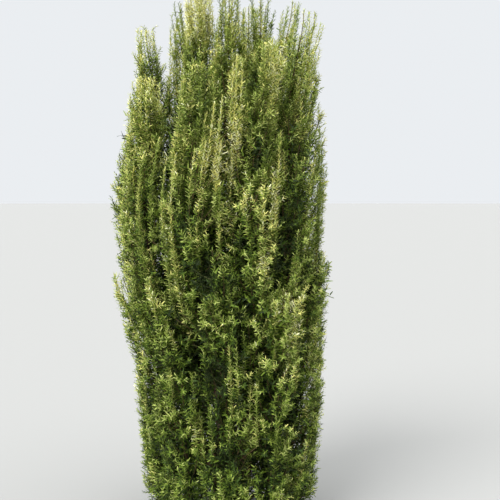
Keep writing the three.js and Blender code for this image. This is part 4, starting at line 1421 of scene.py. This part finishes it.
def trunk_mesh(settings, material):
    trunk = settings.trunk
    sides, rings = trunk.sides, trunk.rings
    points = []
    for ring in range(rings):
        share = ring / (rings - 1)
        height = share * trunk.height
        over = max(0.0, (share - TRUNK_SHOULDER) / (1 - TRUNK_SHOULDER))
        rounding = math.sqrt(1 - (1 - TRUNK_TOP_SHARE**2) * over**2)
        flare = trunk.flare * math.exp(-height / trunk.flare_height)
        for k in range(sides):
            turn = 2 * math.pi * k / sides
            on_root = 0.5 + 0.5 * math.cos(TRUNK_ROOTS * turn + TRUNK_ROOT_TURN)
            flutes = trunk.flute_depth * math.cos(TRUNK_FLUTES * turn)
            shaft = trunk.radius + flutes + trunk.belly * math.sin(math.pi * share)
            radius = shaft * rounding + flare * lerp(TRUNK_WEB_SHARE, 1, on_root)
            radius += trunk.relief * (bark_relief(turn, height, 0.0) - TRUNK_EVEN_BARK)
            points.append((radius * math.cos(turn) + trunk.lean * height, radius * math.sin(turn), height))
    points.append((0.0, 0.0, 0.0))
    points.append((trunk.lean * trunk.height, 0.0, trunk.height + TRUNK_CAP))
    return mesh_from("trunk_bark", np.array(points), tube_faces(sides, rings), material)


def bough_mesh(plume, settings, material):
    """A tapering limb along its curve, with a collar where it leaves the trunk."""
    trunk = settings.trunk
    sides, rings = trunk.bough_sides, trunk.bough_rings
    thick, thin = plume.rule["bough_radius"]
    start, bend, end = (Vector(point) for point in plume.limb())
    points = []
    side = None
    for ring in range(rings):
        share = ring / (rings - 1)
        centre = (1 - share) ** 2 * start + 2 * share * (1 - share) * bend + share**2 * end
        along = (2 * (1 - share) * (bend - start) + 2 * share * (end - bend)).normalized()
        side = along.cross(Vector(BOUGH_SIDE)).normalized() if side is None else side
        side = (side - along * along.dot(side)).normalized()
        other = along.cross(side)
        collar = 1.0 + BOUGH_COLLAR * math.exp(-share / BOUGH_COLLAR_SHARE)
        for k in range(sides):
            turn = 2 * math.pi * k / sides
            bark = bark_relief(turn, share * BOUGH_BARK_STRETCH, plume.seed * BOUGH_BARK_SEEDS)
            rough = BOUGH_RELIEF * trunk.relief * (bark - BOUGH_EVEN_BARK)
            radius = lerp(thick, thin, share) * collar + rough
            point = centre + side * (radius * math.cos(turn))
            points.append(tuple(point + other * (radius * math.sin(turn))))
    points.append(tuple(start))
    points.append(tuple(end + (end - bend).normalized() * BOUGH_CAP))
    return mesh_from(f"bough_{plume.name}_bark", np.array(points), tube_faces(sides, rings), material)


# Stage

def make_floor(stage):
    bpy.ops.mesh.primitive_circle_add(
        vertices=FLOOR_CORNERS, radius=stage.floor_radius, fill_type="NGON"
    )
    floor = bpy.context.object
    floor.name = "floor"
    floor.data.materials.append(plain_material("floor_pale", stage.floor_colour, *FLOOR_FINISH))


def make_soft_light(name, place, width, power):
    """A distant light as wide in the sky as the angle given, so that near and far are lit alike."""
    light = bpy.data.lights.new(name, "SUN")
    light.angle = width
    light.energy = power
    lamp = bpy.data.objects.new(name, light)
    lamp.location = place
    lamp.rotation_euler = (-Vector(place)).to_track_quat("-Z", "Y").to_euler()
    bpy.context.scene.collection.objects.link(lamp)


def make_lights(stage):
    world = bpy.data.worlds.new("soft_dome")
    world.use_nodes = True
    background = world.node_tree.nodes["Background"]
    background.inputs["Color"].default_value = (*DOME_COLOUR, 1.0)
    background.inputs["Strength"].default_value = stage.dome_strength
    bpy.context.scene.world = world
    make_soft_light("key_light", KEY_PLACE, stage.key_width, stage.key_power)
    make_soft_light("top_light", TOP_PLACE, stage.top_width, stage.top_power)


def make_camera(stage):
    camera_data = bpy.data.cameras.new("camera")
    camera_data.sensor_width = SENSOR_WIDTH
    camera_data.lens = SENSOR_WIDTH * stage.focal_pixels / FRAME_WIDTH
    camera = bpy.data.objects.new("camera", camera_data)
    camera.location = (stage.camera_aside, -stage.camera_distance, stage.camera_height)
    tilt = math.atan(stage.horizon_rise / stage.focal_pixels)
    camera.rotation_euler = (math.pi / 2 - tilt, 0.0, 0.0)
    bpy.context.scene.collection.objects.link(camera)
    bpy.context.scene.camera = camera


# Operators

class YEW_OT_trunk(bpy.types.Operator):
    """Models the trunk with its root flare, flutes and plates of bark"""

    bl_idname = "yew.trunk"
    bl_label = "Trunk"

    def execute(self, context):
        settings = context.scene.yew
        material = bark_material("trunk", settings.colours)
        shown_piece("trunk_bark", trunk_mesh(settings, material), "trunk_bark", "trunk")
        return {"FINISHED"}


class YEW_OT_boughs(bpy.types.Operator):
    """Models every bough as a tapering limb with a collar at the trunk"""

    bl_idname = "yew.boughs"
    bl_label = "Boughs"

    def execute(self, context):
        settings = context.scene.yew
        material = bark_material("bough", settings.colours)
        for set_name in SET_ORDER:
            for plume in all_plumes(settings, set_name):
                mesh = bough_mesh(plume, settings, material)
                shown_piece(f"bough_{plume.name}_bark", mesh, "bough_bark", f"bough_{plume.name}")
        return {"FINISHED"}


class YEW_OT_plumes(bpy.types.Operator):
    """Grows the twigs and needles of one set of plumes on from their boughs"""

    bl_idname = "yew.plumes"
    bl_label = "Plumes"

    plume_set: EnumProperty(
        name="Set",
        description="Which ring of plumes to grow",
        items=[(name, name.title(), f"The {name} plumes") for name in SET_ORDER],
    )

    def execute(self, context):
        settings = context.scene.yew
        foliage = settings.foliage
        needle_group = bpy.data.node_groups.get("Needle Spiral") or needle_tree(foliage)
        twig_group = bpy.data.node_groups.get("Twig Skin") or twig_tree(foliage)
        shape = needle_shape(foliage.needle_width)
        needle_values = {
            "Spacing": foliage.needle_spacing,
            "Length": foliage.needle_length,
            "Needle": shape,
            **needle_materials(settings.colours),
        }
        twig_values = {
            "Twig Sides": foliage.twig_sides,
            "Shoot Sides": foliage.shoot_sides,
            **twig_materials(settings.colours),
        }
        for plume in all_plumes(settings, self.plume_set):
            grown = Foliage(plume, foliage)
            name = f"plume_{plume.name}"
            needle_values["Seed"] = plume.seed
            mesh = grown_mesh(grown.leafy, needle_group, needle_values, f"{name}_needles")
            shown_piece(f"{name}_needles", mesh, f"needles_{self.plume_set}", name)
            mesh = grown_mesh(grown.wood, twig_group, twig_values, f"{name}_twigs")
            shown_piece(f"{name}_twigs", mesh, "bough_bark", name)
        bpy.data.objects.remove(shape)
        return {"FINISHED"}


class YEW_OT_stage(bpy.types.Operator):
    """Sets the pale floor, the soft lights and the camera"""

    bl_idname = "yew.stage"
    bl_label = "Stage"

    def execute(self, context):
        stage = context.scene.yew.stage
        make_floor(stage)
        make_lights(stage)
        make_camera(stage)
        context.scene.view_settings.view_transform = "Standard"
        return {"FINISHED"}


# Panel

class VIEW3D_PT_yew(bpy.types.Panel):
    """Sidebar panel with the yew's settings and operators"""

    bl_label = "Columnar Yew"
    bl_space_type = "VIEW_3D"
    bl_region_type = "UI"
    bl_category = "Columnar Yew"

    def draw(self, context):
        layout = self.layout
        settings = context.scene.yew
        for group_name in ("crown", "trunk", "foliage", "colours", "stage"):
            box = layout.box()
            box.label(text=group_name.title())
            group = getattr(settings, group_name)
            for property_name in group.__annotations__:
                box.prop(group, property_name)
        for operator in (YEW_OT_trunk, YEW_OT_boughs, YEW_OT_stage):
            layout.operator(operator.bl_idname)
        for set_name in SET_ORDER:
            layout.operator(YEW_OT_plumes.bl_idname, text=f"{set_name.title()} Plumes").plume_set = set_name


CLASSES = (
    YewCrownSettings,
    YewTrunkSettings,
    YewFoliageSettings,
    YewColourSettings,
    YewStageSettings,
    YewSettings,
    YEW_OT_trunk,
    YEW_OT_boughs,
    YEW_OT_plumes,
    YEW_OT_stage,
    VIEW3D_PT_yew,
)


def register():
    for cls in CLASSES:
        bpy.utils.register_class(cls)
    bpy.types.Scene.yew = PointerProperty(type=YewSettings)


def unregister():
    del bpy.types.Scene.yew
    for cls in reversed(CLASSES):
        bpy.utils.unregister_class(cls)


def main():
    register()
    bpy.ops.yew.trunk()
    bpy.ops.yew.boughs()
    for set_name in SET_ORDER:
        bpy.ops.yew.plumes(plume_set=set_name)
    bpy.ops.yew.stage()


if __name__ == "__main__":
    main()
